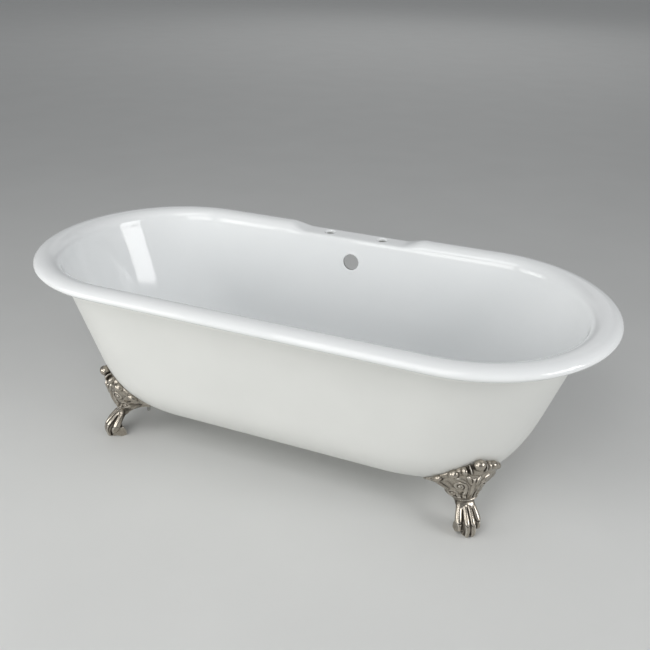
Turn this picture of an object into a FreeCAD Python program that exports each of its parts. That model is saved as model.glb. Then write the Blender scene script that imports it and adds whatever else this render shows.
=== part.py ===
import FreeCAD, Part
import math
import os

# Double-ended cast-iron bathtub on four claw feet.
# Millimetres. Origin on the floor under the middle of the rim, +Z up,
# +X along the tub, +Y towards the side that carries the faucet deck.

V = FreeCAD.Vector

# ---------------------------------------------------------------- dimensions
LENGTH = 1676.4            # over the rim, 66 in
WIDTH = 762.0              # over the rim, 30 in
HEIGHT = 560.0             # floor to the top of the roll
HALF_L = LENGTH / 2.0
HALF_W = WIDTH / 2.0
RIM_STRAIGHT = 457.2       # half length of the straight part of the rim

# rolled rim (open curl)
ROLL_A = 32.0              # half width of the roll
ROLL_B = 17.7              # half height of the roll
ROLL_T = 8.0               # metal thickness of the roll

# body
WALL = 7.0                 # wall thickness
BODY_TOP = HEIGHT - 35.4   # level of the roll's lower edge
BODY_BOT = 92.0            # underside of the bottom
TOP_HALF_L = 768.0
TOP_HALF_W = 318.5
SLOPE_L = 0.330            # slope of the ends, mm in per mm down
SLOPE_W = 0.085            # slope of the sides
CORN_L_H, CORN_L_V = 60.0, 185.0    # ellipse that turns the ends into the bottom
CORN_W_H, CORN_W_V = 152.0, 150.0   # the same for the sides
STRAIGHT_TOP = 462.0
STRAIGHT_BOT = 305.0

# faucet deck in the middle of the back side
DECK_DROP = 18.0           # below the top of the roll
DECK_HALF = 158.0          # half length of the full flat
DECK_END = 230.0           # half length where the roll is whole again
DECK_DEPTH = 75.0          # outer edge to inner edge
FAUCET_SPACING = 177.8     # 7 in centres
FAUCET_R = 15.875          # 1 1/4 in hole
FAUCET_IN = 33.0           # hole centre from the outer edge of the rim

OVERFLOW_R = 25.4          # 2 in hole
OVERFLOW_Z = 466.0
DRAIN_R = 25.4             # 2 in hole
DRAIN_Y = 66.0

# feet
PAW_X, PAW_Y = 553.0, 221.0         # middle of the sole
FOOT_AZ = 45.0                      # direction of the toes from the long axis
FAN_T = 46.5                        # place of the fan on the end's ellipse
STUD_IN = 97.0                      # stud from the middle of the sole, inwards
STUD_R = 4.7                        # 3/8 in stud
STUD_LOW = 54.0                     # lower end of the stud
BOSS_R = 13.0
BOSS_LOW = 94.0                     # face of the casting's boss, and top of the flange
WEB_T = 6.0                         # flange thickness at the stud
SKIRT_LOW = 77.0                    # lower edge of the flange's skirt


# ---------------------------------------------------------------- body shape
def half_sizes(z, inset=0.0):
    """Half length, half width and half straight of the outer wall at a level."""
    zb = BODY_BOT + inset
    zt = BODY_TOP
    d = zt - z
    a = TOP_HALF_L - SLOPE_L * d - inset * 1.053
    b = TOP_HALF_W - SLOPE_W * d - inset
    cl_h, cl_v = CORN_L_H, CORN_L_V
    e = min(1.0, max(0.0, (zb + cl_v - z) / cl_v))
    a -= cl_h * (1.0 - math.sqrt(max(0.0, 1.0 - e * e)))
    e = min(1.0, max(0.0, (zb + CORN_W_V - z) / CORN_W_V))
    b -= CORN_W_H * (1.0 - math.sqrt(max(0.0, 1.0 - e * e)))
    u = (zt - z) / (zt - BODY_BOT)
    s = STRAIGHT_TOP + (STRAIGHT_BOT - STRAIGHT_TOP) * u
    return a, b, s


def body_point(t, z, inset=0.0, off=0.0):
    """Point on the front right end of the body, t in degrees from +X to -Y."""
    def p(tt, zz):
        a, b, s = half_sizes(zz, inset)
        r = math.radians(tt)
        return V(s + (a - s) * math.cos(r), -b * math.sin(r), zz)
    q = p(t, z)
    if off:
        q = q + body_normal(t, z) * off
    return q


def body_normal(t, z):
    def p(tt, zz):
        a, b, s = half_sizes(zz)
        r = math.radians(tt)
        return V(s + (a - s) * math.cos(r), -b * math.sin(r), zz)
    d1 = p(t + 0.2, z) - p(t - 0.2, z)
    z0, z1 = max(BODY_BOT + 0.05, z - 0.6), z + 0.6
    d2 = p(t, z1) - p(t, z0)
    n = d1.cross(d2)
    n.normalize()
    if n.x * math.cos(math.radians(t)) - n.y * math.sin(math.radians(t)) < 0:
        n = n * -1.0
    return n


# Stations round the plan: (kind, value). "f"/"b" are the front and back
# straights, with value = x over the half straight; "r"/"l" the two ends.
def plan_stations():
    st = []
    front = [i / 9.0 for i in range(-9, 10)]
    for f in front:
        st.append(("f", f))
    n = 22
    for i in range(1, n):
        st.append(("r", -90.0 + 180.0 * i / n))
    xs = [457.2, 420.0, 380.0, 342.0, 308.0, 280.0, 258.0, 241.0, 227.0, 214.0,
          202.0, 190.0, 178.0, 165.0, 150.0, 130.0, 104.0, 72.0, 37.0, 0.0]
    back = [x / 457.2 for x in xs] + [-x / 457.2 for x in reversed(xs[:-1])]
    for f in back:
        st.append(("b", f))
    for i in range(1, n):
        st.append(("l", 90.0 + 180.0 * i / n))
    return st


def plan_point(kind, val, a, b, s):
    if kind == "f":
        return val * s, -b
    if kind == "b":
        return val * s, b
    r = math.radians(val)
    if kind == "r":
        return s + (a - s) * math.cos(r), b * math.sin(r)
    return -s + (a - s) * math.cos(r), b * math.sin(r)


def rim_frame(kind, val):
    """Point on the rim's outer line and the outward normal there."""
    x, y = plan_point(kind, val, HALF_L, HALF_W, RIM_STRAIGHT)
    if kind == "f":
        return x, y, 0.0, -1.0
    if kind == "b":
        return x, y, 0.0, 1.0
    r = math.radians(val)
    ca, sa = math.cos(r) / (HALF_L - RIM_STRAIGHT), math.sin(r) / HALF_W
    k = math.hypot(ca, sa)
    return x, y, ca / k, sa / k


def smooth(e):
    e = min(1.0, max(0.0, e))
    return e * e * (3.0 - 2.0 * e)


def deck_amount(kind, val):
    if kind != "b":
        return 0.0
    x = abs(val) * RIM_STRAIGHT
    return smooth((DECK_END - x) / (DECK_END - DECK_HALF))


def mix(a, b, k):
    return a + (b - a) * k


OUTER_WALL_POINTS = 3
INNER_POINTS = 8


# Section of the rim, from the outer wall up through the open channel, round
# the curl, over the top and down to the inner wall: (w, h) with w inwards from
# the outer line and h from the top of the roll. The second list is the same
# section where the roll is pressed flat into the deck.
def rim_section():
    roll, deck = [], []
    ai, bi = ROLL_A - ROLL_T, ROLL_B - ROLL_T * 0.95
    # outer wall and inside of the channel
    roll += [(66.0, -52.0), (65.2, -42.0), (63.0, -31.0)]
    deck += [(66.0, -54.0), (65.6, -46.0), (64.0, -38.0)]
    for t in (160.0, 135.0, 112.0, 90.0, 66.0, 42.0, 18.0, -8.0, -34.0):
        r = math.radians(t)
        roll.append((ROLL_A - ai * math.cos(r), -ROLL_B + bi * math.sin(r)))
    deck += [(59.0, -31.5), (52.0, -28.5), (42.0, -27.4), (32.0, -27.2), (23.0, -27.2),
             (16.0, -27.6), (12.2, -29.2), (10.6, -31.4), (10.4, -33.4)]
    # free edge
    roll += [(15.6, -28.0), (15.4, -31.0), (13.4, -32.6), (10.8, -31.6)]
    deck += [(10.0, -35.2), (9.0, -36.6), (7.2, -37.4), (4.8, -36.8)]
    # outside of the curl
    for t in (-36.0, -16.0, 4.0, 24.0, 44.0, 64.0, 82.0, 97.0):
        r = math.radians(t)
        roll.append((ROLL_A - ROLL_A * math.cos(r), -ROLL_B + ROLL_B * math.sin(r)))
    deck += [(2.6, -35.0), (1.2, -31.4), (0.8, -27.2), (1.6, -22.8), (4.4, -19.4),
             (10.0, -18.2), (20.0, -18.0), (31.0, -18.0)]
    # over the top and down into the bath
    roll += [(44.0, -1.35), (51.0, -3.9), (57.4, -8.0), (62.6, -13.6), (66.4, -20.4),
             (69.0, -28.4), (70.9, -38.0), (72.4, -50.0)]
    deck += [(42.0, -18.0), (53.0, -18.1), (61.0, -18.6), (67.0, -20.0), (71.2, -23.4),
             (73.6, -29.6), (74.7, -38.6), (75.4, -50.0)]
    return roll, deck


def wall_levels():
    """Levels of the outer wall, from the bottom up to the rim."""
    out = []
    for k in (0.0, 0.012, 0.035, 0.075, 0.13, 0.20, 0.28, 0.37, 0.47, 0.58, 0.70, 0.82, 0.93):
        out.append(BODY_BOT + (BODY_TOP - 45.0 - BODY_BOT) * k)
    return out


def build_rows():
    stations = plan_stations()
    roll, deck = rim_section()
    rows = []
    # underside of the bottom out to the corner, then up the outer wall
    zs = wall_levels()

    def ring(fn):
        return [fn(k, v) for (k, v) in stations]

    def wall_ring(z, inset):
        a, b, s = half_sizes(z, inset)
        return ring(lambda k, v: V(*plan_point(k, v, a, b, s), z))

    def scaled_ring(z_ref, inset, z, f):
        a, b, s = half_sizes(z_ref, inset)
        s2 = s * (1 - (1 - f) * 0.6)
        a2 = a - (b * (1 - f))
        return ring(lambda k, v: V(*plan_point(k, v, a2, b * f, s2), z))

    rows.append(scaled_ring(BODY_BOT, 0.0, BODY_BOT, 0.80))
    rows.append(scaled_ring(BODY_BOT, 0.0, BODY_BOT, 0.90))
    for z in zs:
        rows.append(wall_ring(z, 0.0))

    # how far in the outer and the inner wall stand from the rim's outer line,
    # and how far along it, at each station
    def wall_offset(k, v, h, inset):
        z = HEIGHT + h
        a, b, s = half_sizes(z, inset)
        px, py = plan_point(k, v, a, b, s)
        x, y, nx, ny = rim_frame(k, v)
        dx, dy = px - x, py - y
        return -(dx * nx + dy * ny), dx * -ny + dy * nx

    for i, (r, d) in enumerate(zip(roll, deck)):
        row = []
        for (k, v) in stations:
            x, y, nx, ny = rim_frame(k, v)
            m = deck_amount(k, v)
            w = mix(r[0], d[0], m)
            h = mix(r[1], d[1], m)
            tang = 0.0
            if i < OUTER_WALL_POINTS:
                w, tang = wall_offset(k, v, h, 0.0)
            elif i < OUTER_WALL_POINTS + 4:
                wo, tang = wall_offset(k, v, -36.0, 0.0)
                f = (OUTER_WALL_POINTS + 4 - i) / 5.0
                w += (wo - 64.5) * f
                tang *= f
            elif w > ROLL_A and i >= len(roll) - INNER_POINTS:
                wi, tang = wall_offset(k, v, -50.0, WALL + 1.0)
                wi2, _ = wall_offset(k, v, -60.0, WALL + 1.0)
                slope = (wi2 - wi) / 10.0
                w_last = mix(roll[-1][0], deck[-1][0], m)
                f = (w - ROLL_A) / (w_last - ROLL_A)
                w = ROLL_A + (w - ROLL_A) * (wi - ROLL_A) / (w_last - ROLL_A)
                w -= max(0.0, slope - 0.12) * (50.0 + h) * (h / 50.0) ** 2
                tang *= f
            row.append(V(x - nx * w - ny * tang, y - ny * w + nx * tang, HEIGHT + h))
        rows.append(row)

    # inner wall
    zi_top = HEIGHT - 64.0
    zi_bot = BODY_BOT + WALL + 1.0
    ks = (1.0, 0.93, 0.84, 0.73, 0.61, 0.49, 0.38, 0.28, 0.20, 0.13, 0.075, 0.035, 0.012, 0.0)
    for k in ks:
        z = zi_bot + (zi_top - zi_bot) * k
        rows.append(wall_ring(z, WALL + 1.0))
    rows.append(scaled_ring(zi_bot, WALL + 1.0, zi_bot, 0.90))
    rows.append(scaled_ring(zi_bot, WALL + 1.0, zi_bot, 0.80))
    return rows


def interpolated(rows):
    """Control points whose uniform cubic surface passes through the rows."""
    nr, nc = len(rows), len(rows[0])
    q = [[rows[i][j] for j in range(nc)] for i in range(nr)]
    # round the plan (closed)
    p = [[V(c) for c in r] for r in q]
    for _ in range(14):
        nxt = []
        for i in range(nr):
            r = p[i]
            nxt.append([r[j] + (q[i][j] - (r[j - 1] + r[j] * 4.0 + r[(j + 1) % nc]) * (1 / 6.0))
                        for j in range(nc)])
        p = nxt
    q = [[V(c) for c in r] for r in p]
    for _ in range(14):
        nxt = [p[0]]
        for i in range(1, nr - 1):
            nxt.append([p[i][j] + (q[i][j] - (p[i - 1][j] + p[i][j] * 4.0 + p[i + 1][j]) * (1 / 6.0))
                        for j in range(nc)])
        nxt.append(p[-1])
        p = nxt
    for j in range(nc):          # the first and last two rows stay flat
        p[1][j] = q[1][j]
        p[-2][j] = q[-2][j]
    return p


def tub_shell():
    rows = build_rows()
    poles_vu = interpolated(rows)
    nr, nc = len(rows), len(rows[0])
    poles = [[poles_vu[i][j] for i in range(nr)] for j in range(nc)]
    uk = [float(i) for i in range(nc + 1)]
    um = [1] * (nc + 1)
    vk = [float(i) for i in range(nr - 2)]
    vm = [4] + [1] * (nr - 4) + [4]
    surf = Part.BSplineSurface()
    surf.buildFromPolesMultsKnots(poles, um, vm, uk, vk, True, False, 3, 3)
    skin = surf.toShape()
    closed = []
    for e in skin.Edges:
        bb = e.BoundBox
        if bb.ZLength < 0.01:
            closed.append(e)
    caps = [Part.Face(Part.Wire(e)) for e in closed]
    shell = Part.Shell([skin] + caps)
    shell.sewShape()
    solid = Part.Solid(shell)
    solid.fix(0.01, 0.01, 0.01)
    if solid.Volume < 0:
        solid.reverse()
    return solid


# ---------------------------------------------------------------- feet
def foot_axes():
    c, s = math.cos(math.radians(FOOT_AZ)), math.sin(math.radians(FOOT_AZ))
    return V(c, -s, 0), V(s, c, 0)      # out, and across towards the tub's end


U, W = foot_axes()
PAW = V(PAW_X, -PAW_Y, 0)


def foot_point(u, v, z):
    return PAW + U * u + W * v + V(0, 0, z)


def grid_solid(inner, outer):
    """Closed solid between two grids of points with the same layout."""
    def surf(grid):
        s = Part.BSplineSurface()
        s.interpolate(grid)
        return s.toShape()

    def side(a, b):
        s = Part.BSplineSurface()
        s.interpolate([a, b])
        return s.toShape()

    fi, fo = surf(inner), surf(outer)

    def curve(pts):
        c = Part.BSplineCurve()
        c.interpolate(pts)
        return c.toShape()

    faces = [fi, fo]

    def edge_of(face, a, b):
        for e in face.Edges:
            p, q = e.Vertexes[0].Point, e.Vertexes[-1].Point
            if (p.distanceToPoint(a) < 0.01 and q.distanceToPoint(b) < 0.01) or \
               (p.distanceToPoint(b) < 0.01 and q.distanceToPoint(a) < 0.01):
                return e
        raise RuntimeError("edge not found")

    n, m = len(inner), len(inner[0])
    corners = [(0, 0), (n - 1, 0), (n - 1, m - 1), (0, m - 1)]
    for k in range(4):
        i0, j0 = corners[k]
        i1, j1 = corners[(k + 1) % 4]
        e1 = edge_of(fi, inner[i0][j0], inner[i1][j1])
        e2 = edge_of(fo, outer[i0][j0], outer[i1][j1])
        faces.append(Part.makeRuledSurface(e1, e2))
    shell = Part.Shell(faces)
    shell.sewShape()
    sol = Part.Solid(shell)
    sol.fix(0.01, 0.01, 0.01)
    if sol.Volume < 0:
        sol.reverse()
    return sol


FAN_HALF_T = 22.5       # half spread of the fan, degrees on the end's ellipse
FAN_Z_TIP = 122.0       # level of the fan's two tips
FAN_Z_TOP = 214.0       # level of its top edge in the middle


def fan_top(k):
    """Level of the fan's upper edge, k from -1 to 1 across it."""
    return FAN_Z_TIP + (FAN_Z_TOP - FAN_Z_TIP) * (1.0 - abs(k) ** 1.9)


# how far the foot stands out from the body along the fan's middle, from under
# the tub up to the top edge
FAN_THICK = (14.0, 38.0, 50.0, 45.0, 36.0, 20.0)


def curve_at(vals, f):
    x = f * (len(vals) - 1)
    i = min(int(x), len(vals) - 2)
    return mix(vals[i], vals[i + 1], x - i)


def fan_bracket():
    gap = 0.6
    nu, nv = 15, 9
    inner, outer = [], []
    for i in range(nu):
        k = -1.0 + 2.0 * i / (nu - 1)
        ri, ro = [], []
        for j in range(nv):
            f = j / (nv - 1.0)
            spread = mix(0.34, 1.0, f ** 0.8)
            t = FAN_T + k * FAN_HALF_T * spread + (1.0 - f) * 2.0
            zlow = 106.0
            ztop = fan_top(k)
            z = mix(zlow, ztop, f)
            base = body_point(t, z)
            n = body_normal(t, z)
            thick = 5.0 + (curve_at(FAN_THICK, f) - 5.0) * (1.0 - abs(k)) ** 1.25
            ri.append(base + n * gap)
            ro.append(base + n * (gap + thick))
        inner.append(ri)
        outer.append(ro)
    return grid_solid(inner, outer)


def oval(cx_u, cx_v, z, ru, rv):
    """Closed oval wire, ru along the toes' direction and rv across."""
    pts = []
    n = 16
    for i in range(n):
        a = 2 * math.pi * i / n
        pts.append(foot_point(cx_u + ru * math.cos(a), cx_v + rv * math.sin(a), z))
    c = Part.BSplineCurve()
    c.interpolate(pts, PeriodicFlag=True)
    return Part.Wire(c.toShape())


def leg():
    secs = [oval(-5, 0, 4, 31, 30), oval(-2, 0, 18, 33, 34), oval(-3, 0, 31, 33, 35),
            oval(-9, 0, 46, 33, 33), oval(-21, 0, 62, 31, 28), oval(-35, 1, 76, 28, 25),
            oval(-42, 3, 90, 27, 27), oval(-44, 6, 104, 32, 34), oval(-42, 9, 118, 38, 46)]
    return Part.makeLoft(secs, True, False)


def capsule(p, q, r1, r2):
    d = q - p
    parts = [Part.makeSphere(r1, p), Part.makeSphere(r2, q)]
    parts.append(Part.makeCone(r1, r2, d.Length, p, d) if abs(r1 - r2) > 0.05
                 else Part.makeCylinder(r1, d.Length, p, d))
    s = parts[0].fuse(parts[1:])
    return s.removeSplitter()


def foot_solid():
    """The front right foot."""
    stud_at = foot_point(-STUD_IN, 0, 0)
    parts = [leg()]
    # paw: sole pad and four toes
    pad = Part.makeLoft([oval(-6, 0, 0, 28, 29), oval(-4, 0, 8, 31, 33), oval(-6, 0, 20, 28, 32)],
                        True, False)
    parts.append(pad)
    for v, vt in ((-26.0, -28.0), (-9.0, -10.0), (9.0, 10.0), (26.0, 28.0)):
        out = 27.5 if abs(v) < 12 else 18.0
        p = foot_point(-9, v * 0.80, 50)
        k = foot_point(out * 0.72, v * 0.98, 31)
        e = foot_point(out, vt, 9.5)
        parts.append(capsule(p, k, 9.5, 10.0))
        parts.append(capsule(k, e, 10.0, 8.5))
    foot = parts[0].fuse(parts[1:])
    # flange under the bottom of the tub: a channel, open below, round the stud
    hgt = BOSS_LOW - SKIRT_LOW
    fl = Part.makeCylinder(21.0, hgt, V(stud_at.x, stud_at.y, SKIRT_LOW))
    block = Part.Face(Part.makePolygon([
        foot_point(-STUD_IN, -21, SKIRT_LOW), foot_point(-44, -23, SKIRT_LOW),
        foot_point(-44, 23, SKIRT_LOW), foot_point(-STUD_IN, 21, SKIRT_LOW),
        foot_point(-STUD_IN, -21, SKIRT_LOW)])).extrude(V(0, 0, hgt))
    pocket = Part.makeCylinder(16.0, 60, V(stud_at.x, stud_at.y, BOSS_LOW - WEB_T - 60))
    pocket2 = Part.Face(Part.makePolygon([
        foot_point(-STUD_IN, -16, BOSS_LOW - WEB_T), foot_point(-STUD_IN + 14, -16, BOSS_LOW - WEB_T),
        foot_point(-STUD_IN + 14, 16, BOSS_LOW - WEB_T), foot_point(-STUD_IN, 16, BOSS_LOW - WEB_T),
        foot_point(-STUD_IN, -16, BOSS_LOW - WEB_T)])).extrude(V(0, 0, -60))
    foot = foot.fuse([fl, block, fan_bracket()])
    # beads along the fan's upper edge
    for k, r in ((0.0, 12.5), (-0.24, 9.5), (0.24, 9.5), (-0.44, 8.2), (0.44, 8.2),
                 (-0.62, 6.8), (0.62, 6.8), (-0.78, 5.6), (0.78, 5.6)):
        t = FAN_T + k * FAN_HALF_T
        z = fan_top(k) - 2.0
        c = body_point(t, z) + body_normal(t, z) * (r * 0.62 + 1.5)
        foot = foot.fuse(Part.makeSphere(r, c))
    # the tub's own space, 0.6 mm clear of its outer skin
    foot = foot.cut(body_plug(0.6))
    foot = foot.cut(Part.makeBox(400, 400, 40, V(PAW_X - 200, -PAW_Y - 200, -40)))
    # nothing of the foot stands above the boss face round the stud
    foot = foot.cut(Part.makeCylinder(26.0, 60, V(stud_at.x, stud_at.y, BOSS_LOW)))
    foot = foot.cut([pocket, pocket2])
    foot = foot.cut(Part.makeCylinder(STUD_R + 0.7, 60, V(stud_at.x, stud_at.y, 50)))
    return max(foot.Solids, key=lambda q: q.Volume)


STUD_TOP = BOSS_LOW + 9.5
_plugs = {}


def body_plug(gap):
    """The lower front right body of the tub as one plug, grown by the gap."""
    if gap in _plugs:
        return _plugs[gap]
    wires = []
    zs = [BODY_BOT - gap + 0.02, BODY_BOT - gap + 1.5, BODY_BOT - gap + 5, BODY_BOT + 11, BODY_BOT + 20,
          BODY_BOT + 33, BODY_BOT + 50, BODY_BOT + 72, BODY_BOT + 100, BODY_BOT + 135, BODY_BOT + 175]
    for z in zs:
        pts = []
        for i in range(25):
            t = -20.0 + 130.0 * i / 24.0
            a, b, s = half_sizes(z, -gap)
            r = math.radians(t)
            pts.append(V(s + (a - s) * math.cos(r), -b * math.sin(r), z))
        c = Part.BSplineCurve()
        c.interpolate(pts)
        e = c.toShape()
        back = [pts[-1], V(200, 60, z), pts[0]]
        wires.append(Part.Wire([e, Part.makeLine(back[0], back[1]), Part.makeLine(back[1], back[2])]))
    plug = Part.makeLoft(wires, True, False)
    _plugs[gap] = plug
    return plug


def hexagon(r_in, h, at):
    rc = r_in / math.cos(math.radians(30))
    pts = [V(at.x + rc * math.cos(math.radians(60 * i + 15)),
             at.y + rc * math.sin(math.radians(60 * i + 15)), at.z) for i in range(7)]
    f = Part.Face(Part.makePolygon(pts))
    body = f.extrude(V(0, 0, h))
    cone = Part.makeCone(rc - 0.6, rc + 1.4, 2.0, at)
    cyl = Part.makeCylinder(rc + 1.4, h - 4.0, V(at.x, at.y, at.z + 2.0))
    cone2 = Part.makeCone(rc + 1.4, rc - 0.6, 2.0, V(at.x, at.y, at.z + h - 2.0))
    return body.common(cone.fuse([cyl, cone2]))


def stud(at):
    z0, z1 = STUD_LOW, STUD_TOP - 0.5
    body = Part.makeCylinder(STUD_R, z1 - z0 - 1.2, V(at.x, at.y, z0 + 1.2))
    tip = Part.makeCone(STUD_R - 1.2, STUD_R, 1.2, V(at.x, at.y, z0))
    s = body.fuse(tip).removeSplitter()
    # thread shown as fine ring grooves
    grooves = []
    z = z0 + 3.0
    while z < BOSS_LOW - 1.0:
        ring = Part.makeCylinder(STUD_R + 1.0, 0.7, V(at.x, at.y, z)).cut(
            Part.makeCylinder(STUD_R - 0.5, 0.7, V(at.x, at.y, z)))
        grooves.append(ring)
        z += 1.6
    return s.cut(grooves)


def washer(at):
    z = BOSS_LOW - WEB_T - 2.0
    w = Part.makeCylinder(12.5, 2.0, V(at.x, at.y, z))
    return w.cut(Part.makeCylinder(STUD_R + 0.5, 2.0, V(at.x, at.y, z)))


def nut(at):
    z = BOSS_LOW - WEB_T - 2.0 - 8.4
    n = hexagon(8.2, 8.4, V(at.x, at.y, z))
    return n.cut(Part.makeCylinder(STUD_R + 0.05, 8.4, V(at.x, at.y, z)))


# ---------------------------------------------------------------- assembly
def mirrored(shape, name):
    s = shape
    if "left" in name:
        s = s.mirror(V(0, 0, 0), V(1, 0, 0))
    if "rear" in name:
        s = s.mirror(V(0, 0, 0), V(0, 1, 0))
    return s


def main():
    os.makedirs("parts", exist_ok=True)
    tub = tub_shell()
    stud_at = foot_point(-STUD_IN, 0, 0)
    for sx in (1, -1):
        for sy in (1, -1):
            at = V(stud_at.x * sx, stud_at.y * sy, 0)
            plug = body_plug(-4.0)
            if sx < 0:
                plug = plug.mirror(V(0, 0, 0), V(1, 0, 0))
            if sy < 0:
                plug = plug.mirror(V(0, 0, 0), V(0, 1, 0))
            boss = Part.makeCone(BOSS_R, BOSS_R + 5.0, 36.0, V(at.x, at.y, BOSS_LOW)).cut(plug)
            boss = max(boss.Solids, key=lambda q: -q.BoundBox.ZMin)
            tub = tub.fuse(boss)
            tub = tub.cut(Part.makeCylinder(STUD_R + 0.05, STUD_TOP - BOSS_LOW,
                                            V(at.x, at.y, BOSS_LOW)))
    for sx in (1, -1):
        tub = tub.cut(Part.makeCylinder(FAUCET_R, 60, V(sx * FAUCET_SPACING / 2, HALF_W - FAUCET_IN,
                                                        HEIGHT - 60)))
    # square to the back wall, which leans out by its slope
    lean = math.atan(SLOPE_W)
    out = V(0, math.cos(lean), -math.sin(lean))
    tub = tub.cut(Part.makeCylinder(OVERFLOW_R, 60, V(0, HALF_W - 76, OVERFLOW_Z) - out * 30, out))
    tub = tub.cut(Part.makeCylinder(DRAIN_R, 60, V(0, DRAIN_Y, BODY_BOT - 20)))

    nodes = {"tub_shell": tub}
    foot = foot_solid()
    for name in ("front_left", "front_right", "rear_left", "rear_right"):
        nodes["foot_" + name] = mirrored(foot, name)
        nodes["foot_stud_" + name] = mirrored(stud(stud_at), name)
        nodes["foot_washer_" + name] = mirrored(washer(stud_at), name)
        nodes["foot_nut_" + name] = mirrored(nut(stud_at), name)

    for name, shape in nodes.items():
        if len(shape.Solids) == 1:
            shape = shape.Solids[0]
        bb = shape.BoundBox
        print("%-26s solids %d valid %s vol %.0f  x %.1f %.1f  y %.1f %.1f  z %.1f %.1f" % (
            name, len(shape.Solids), shape.isValid(), shape.Volume,
            bb.XMin, bb.XMax, bb.YMin, bb.YMax, bb.ZMin, bb.ZMax))
        shape.exportStep("parts/%s.step" % name)


main()
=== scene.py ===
import math

import bpy
import numpy as np
from mathutils import Matrix, Vector
from mathutils.geometry import delaunay_2d_cdt


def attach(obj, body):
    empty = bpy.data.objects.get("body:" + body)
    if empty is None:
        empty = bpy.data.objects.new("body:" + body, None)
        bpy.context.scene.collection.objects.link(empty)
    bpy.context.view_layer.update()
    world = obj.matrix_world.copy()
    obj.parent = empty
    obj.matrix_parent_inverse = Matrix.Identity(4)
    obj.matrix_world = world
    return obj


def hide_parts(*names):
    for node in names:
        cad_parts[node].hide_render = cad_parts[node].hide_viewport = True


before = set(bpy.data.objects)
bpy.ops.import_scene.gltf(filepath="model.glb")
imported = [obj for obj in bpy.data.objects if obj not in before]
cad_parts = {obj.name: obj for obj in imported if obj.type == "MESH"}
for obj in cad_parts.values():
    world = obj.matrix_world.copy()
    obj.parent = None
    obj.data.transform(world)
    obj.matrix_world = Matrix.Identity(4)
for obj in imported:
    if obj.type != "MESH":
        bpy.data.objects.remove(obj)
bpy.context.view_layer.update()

# =====================================================================
# Bathtub casting. All lengths in millimetres until a mesh is made.
# Origin on the floor under the middle of the rim, +X along the tub,
# +Y towards the side with the faucet deck.
# =====================================================================
LENGTH, WIDTH, HEIGHT = 1676.4, 762.0, 560.0
HALF_L, HALF_W = LENGTH / 2.0, WIDTH / 2.0
RIM_STRAIGHT = 457.2
ROLL_A, ROLL_B, ROLL_T = 32.0, 17.7, 8.0
WALL = 7.0
BODY_TOP, BODY_BOT = HEIGHT - 35.4, 92.0
TOP_HALF_L, TOP_HALF_W = 768.0, 318.5
SLOPE_L, SLOPE_W = 0.330, 0.085
CORN_L_H, CORN_L_V = 60.0, 185.0
CORN_W_H, CORN_W_V = 152.0, 150.0
STRAIGHT_TOP, STRAIGHT_BOT = 462.0, 305.0
DECK_HALF, DECK_END = 158.0, 230.0
FAUCET_SPACING, FAUCET_R, FAUCET_IN = 177.8, 15.875, 33.0
OVERFLOW_R, OVERFLOW_Z = 25.4, 466.0
DRAIN_R, DRAIN_Y = 25.4, 66.0
PAW_X, PAW_Y, FOOT_AZ = 553.0, 221.0, 45.0
FAN_T, FAN_HALF_T, BALL_K = 46.5, 22.5, 0.07
STUD_IN = 97.0
BOSS_R, BOSS_LOW = 13.0, 94.0


def half_sizes(z, inset=0.0):
    z = np.asarray(z, float)
    d = BODY_TOP - z
    a = TOP_HALF_L - SLOPE_L * d - inset * 1.053
    b = TOP_HALF_W - SLOPE_W * d - inset
    zb = BODY_BOT + inset
    e = np.clip((zb + CORN_L_V - z) / CORN_L_V, 0.0, 1.0)
    a = a - CORN_L_H * (1.0 - np.sqrt(np.maximum(0.0, 1.0 - e * e)))
    e = np.clip((zb + CORN_W_V - z) / CORN_W_V, 0.0, 1.0)
    b = b - CORN_W_H * (1.0 - np.sqrt(np.maximum(0.0, 1.0 - e * e)))
    u = (BODY_TOP - z) / (BODY_TOP - BODY_BOT)
    s = STRAIGHT_TOP + (STRAIGHT_BOT - STRAIGHT_TOP) * u
    return a, b, s


def plan_stations():
    st = [("f", i / 9.0) for i in range(-9, 10)]
    n = 22
    st += [("r", -90.0 + 180.0 * i / n) for i in range(1, n)]
    xs = [457.2, 420.0, 380.0, 342.0, 308.0, 280.0, 258.0, 241.0, 227.0, 214.0,
          202.0, 190.0, 178.0, 165.0, 150.0, 130.0, 104.0, 72.0, 37.0, 0.0]
    st += [("b", x / 457.2) for x in xs] + [("b", -x / 457.2) for x in reversed(xs[:-1])]
    st += [("l", 90.0 + 180.0 * i / n) for i in range(1, n)]
    return st


def plan_point(kind, val, a, b, s):
    if kind == "f":
        return val * s, -b
    if kind == "b":
        return val * s, b
    r = math.radians(val)
    sg = 1.0 if kind == "r" else -1.0
    return sg * s + (a - s) * math.cos(r), b * math.sin(r)


def rim_frame(kind, val):
    x, y = plan_point(kind, val, HALF_L, HALF_W, RIM_STRAIGHT)
    if kind == "f":
        return x, y, 0.0, -1.0
    if kind == "b":
        return x, y, 0.0, 1.0
    r = math.radians(val)
    ca, sa = math.cos(r) / (HALF_L - RIM_STRAIGHT), math.sin(r) / HALF_W
    k = math.hypot(ca, sa)
    return x, y, ca / k, sa / k


def deck_amount(kind, val):
    if kind != "b":
        return 0.0
    e = min(1.0, max(0.0, (DECK_END - abs(val) * RIM_STRAIGHT) / (DECK_END - DECK_HALF)))
    return e * e * (3.0 - 2.0 * e)


OUTER_WALL_POINTS, INNER_POINTS = 3, 8


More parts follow.
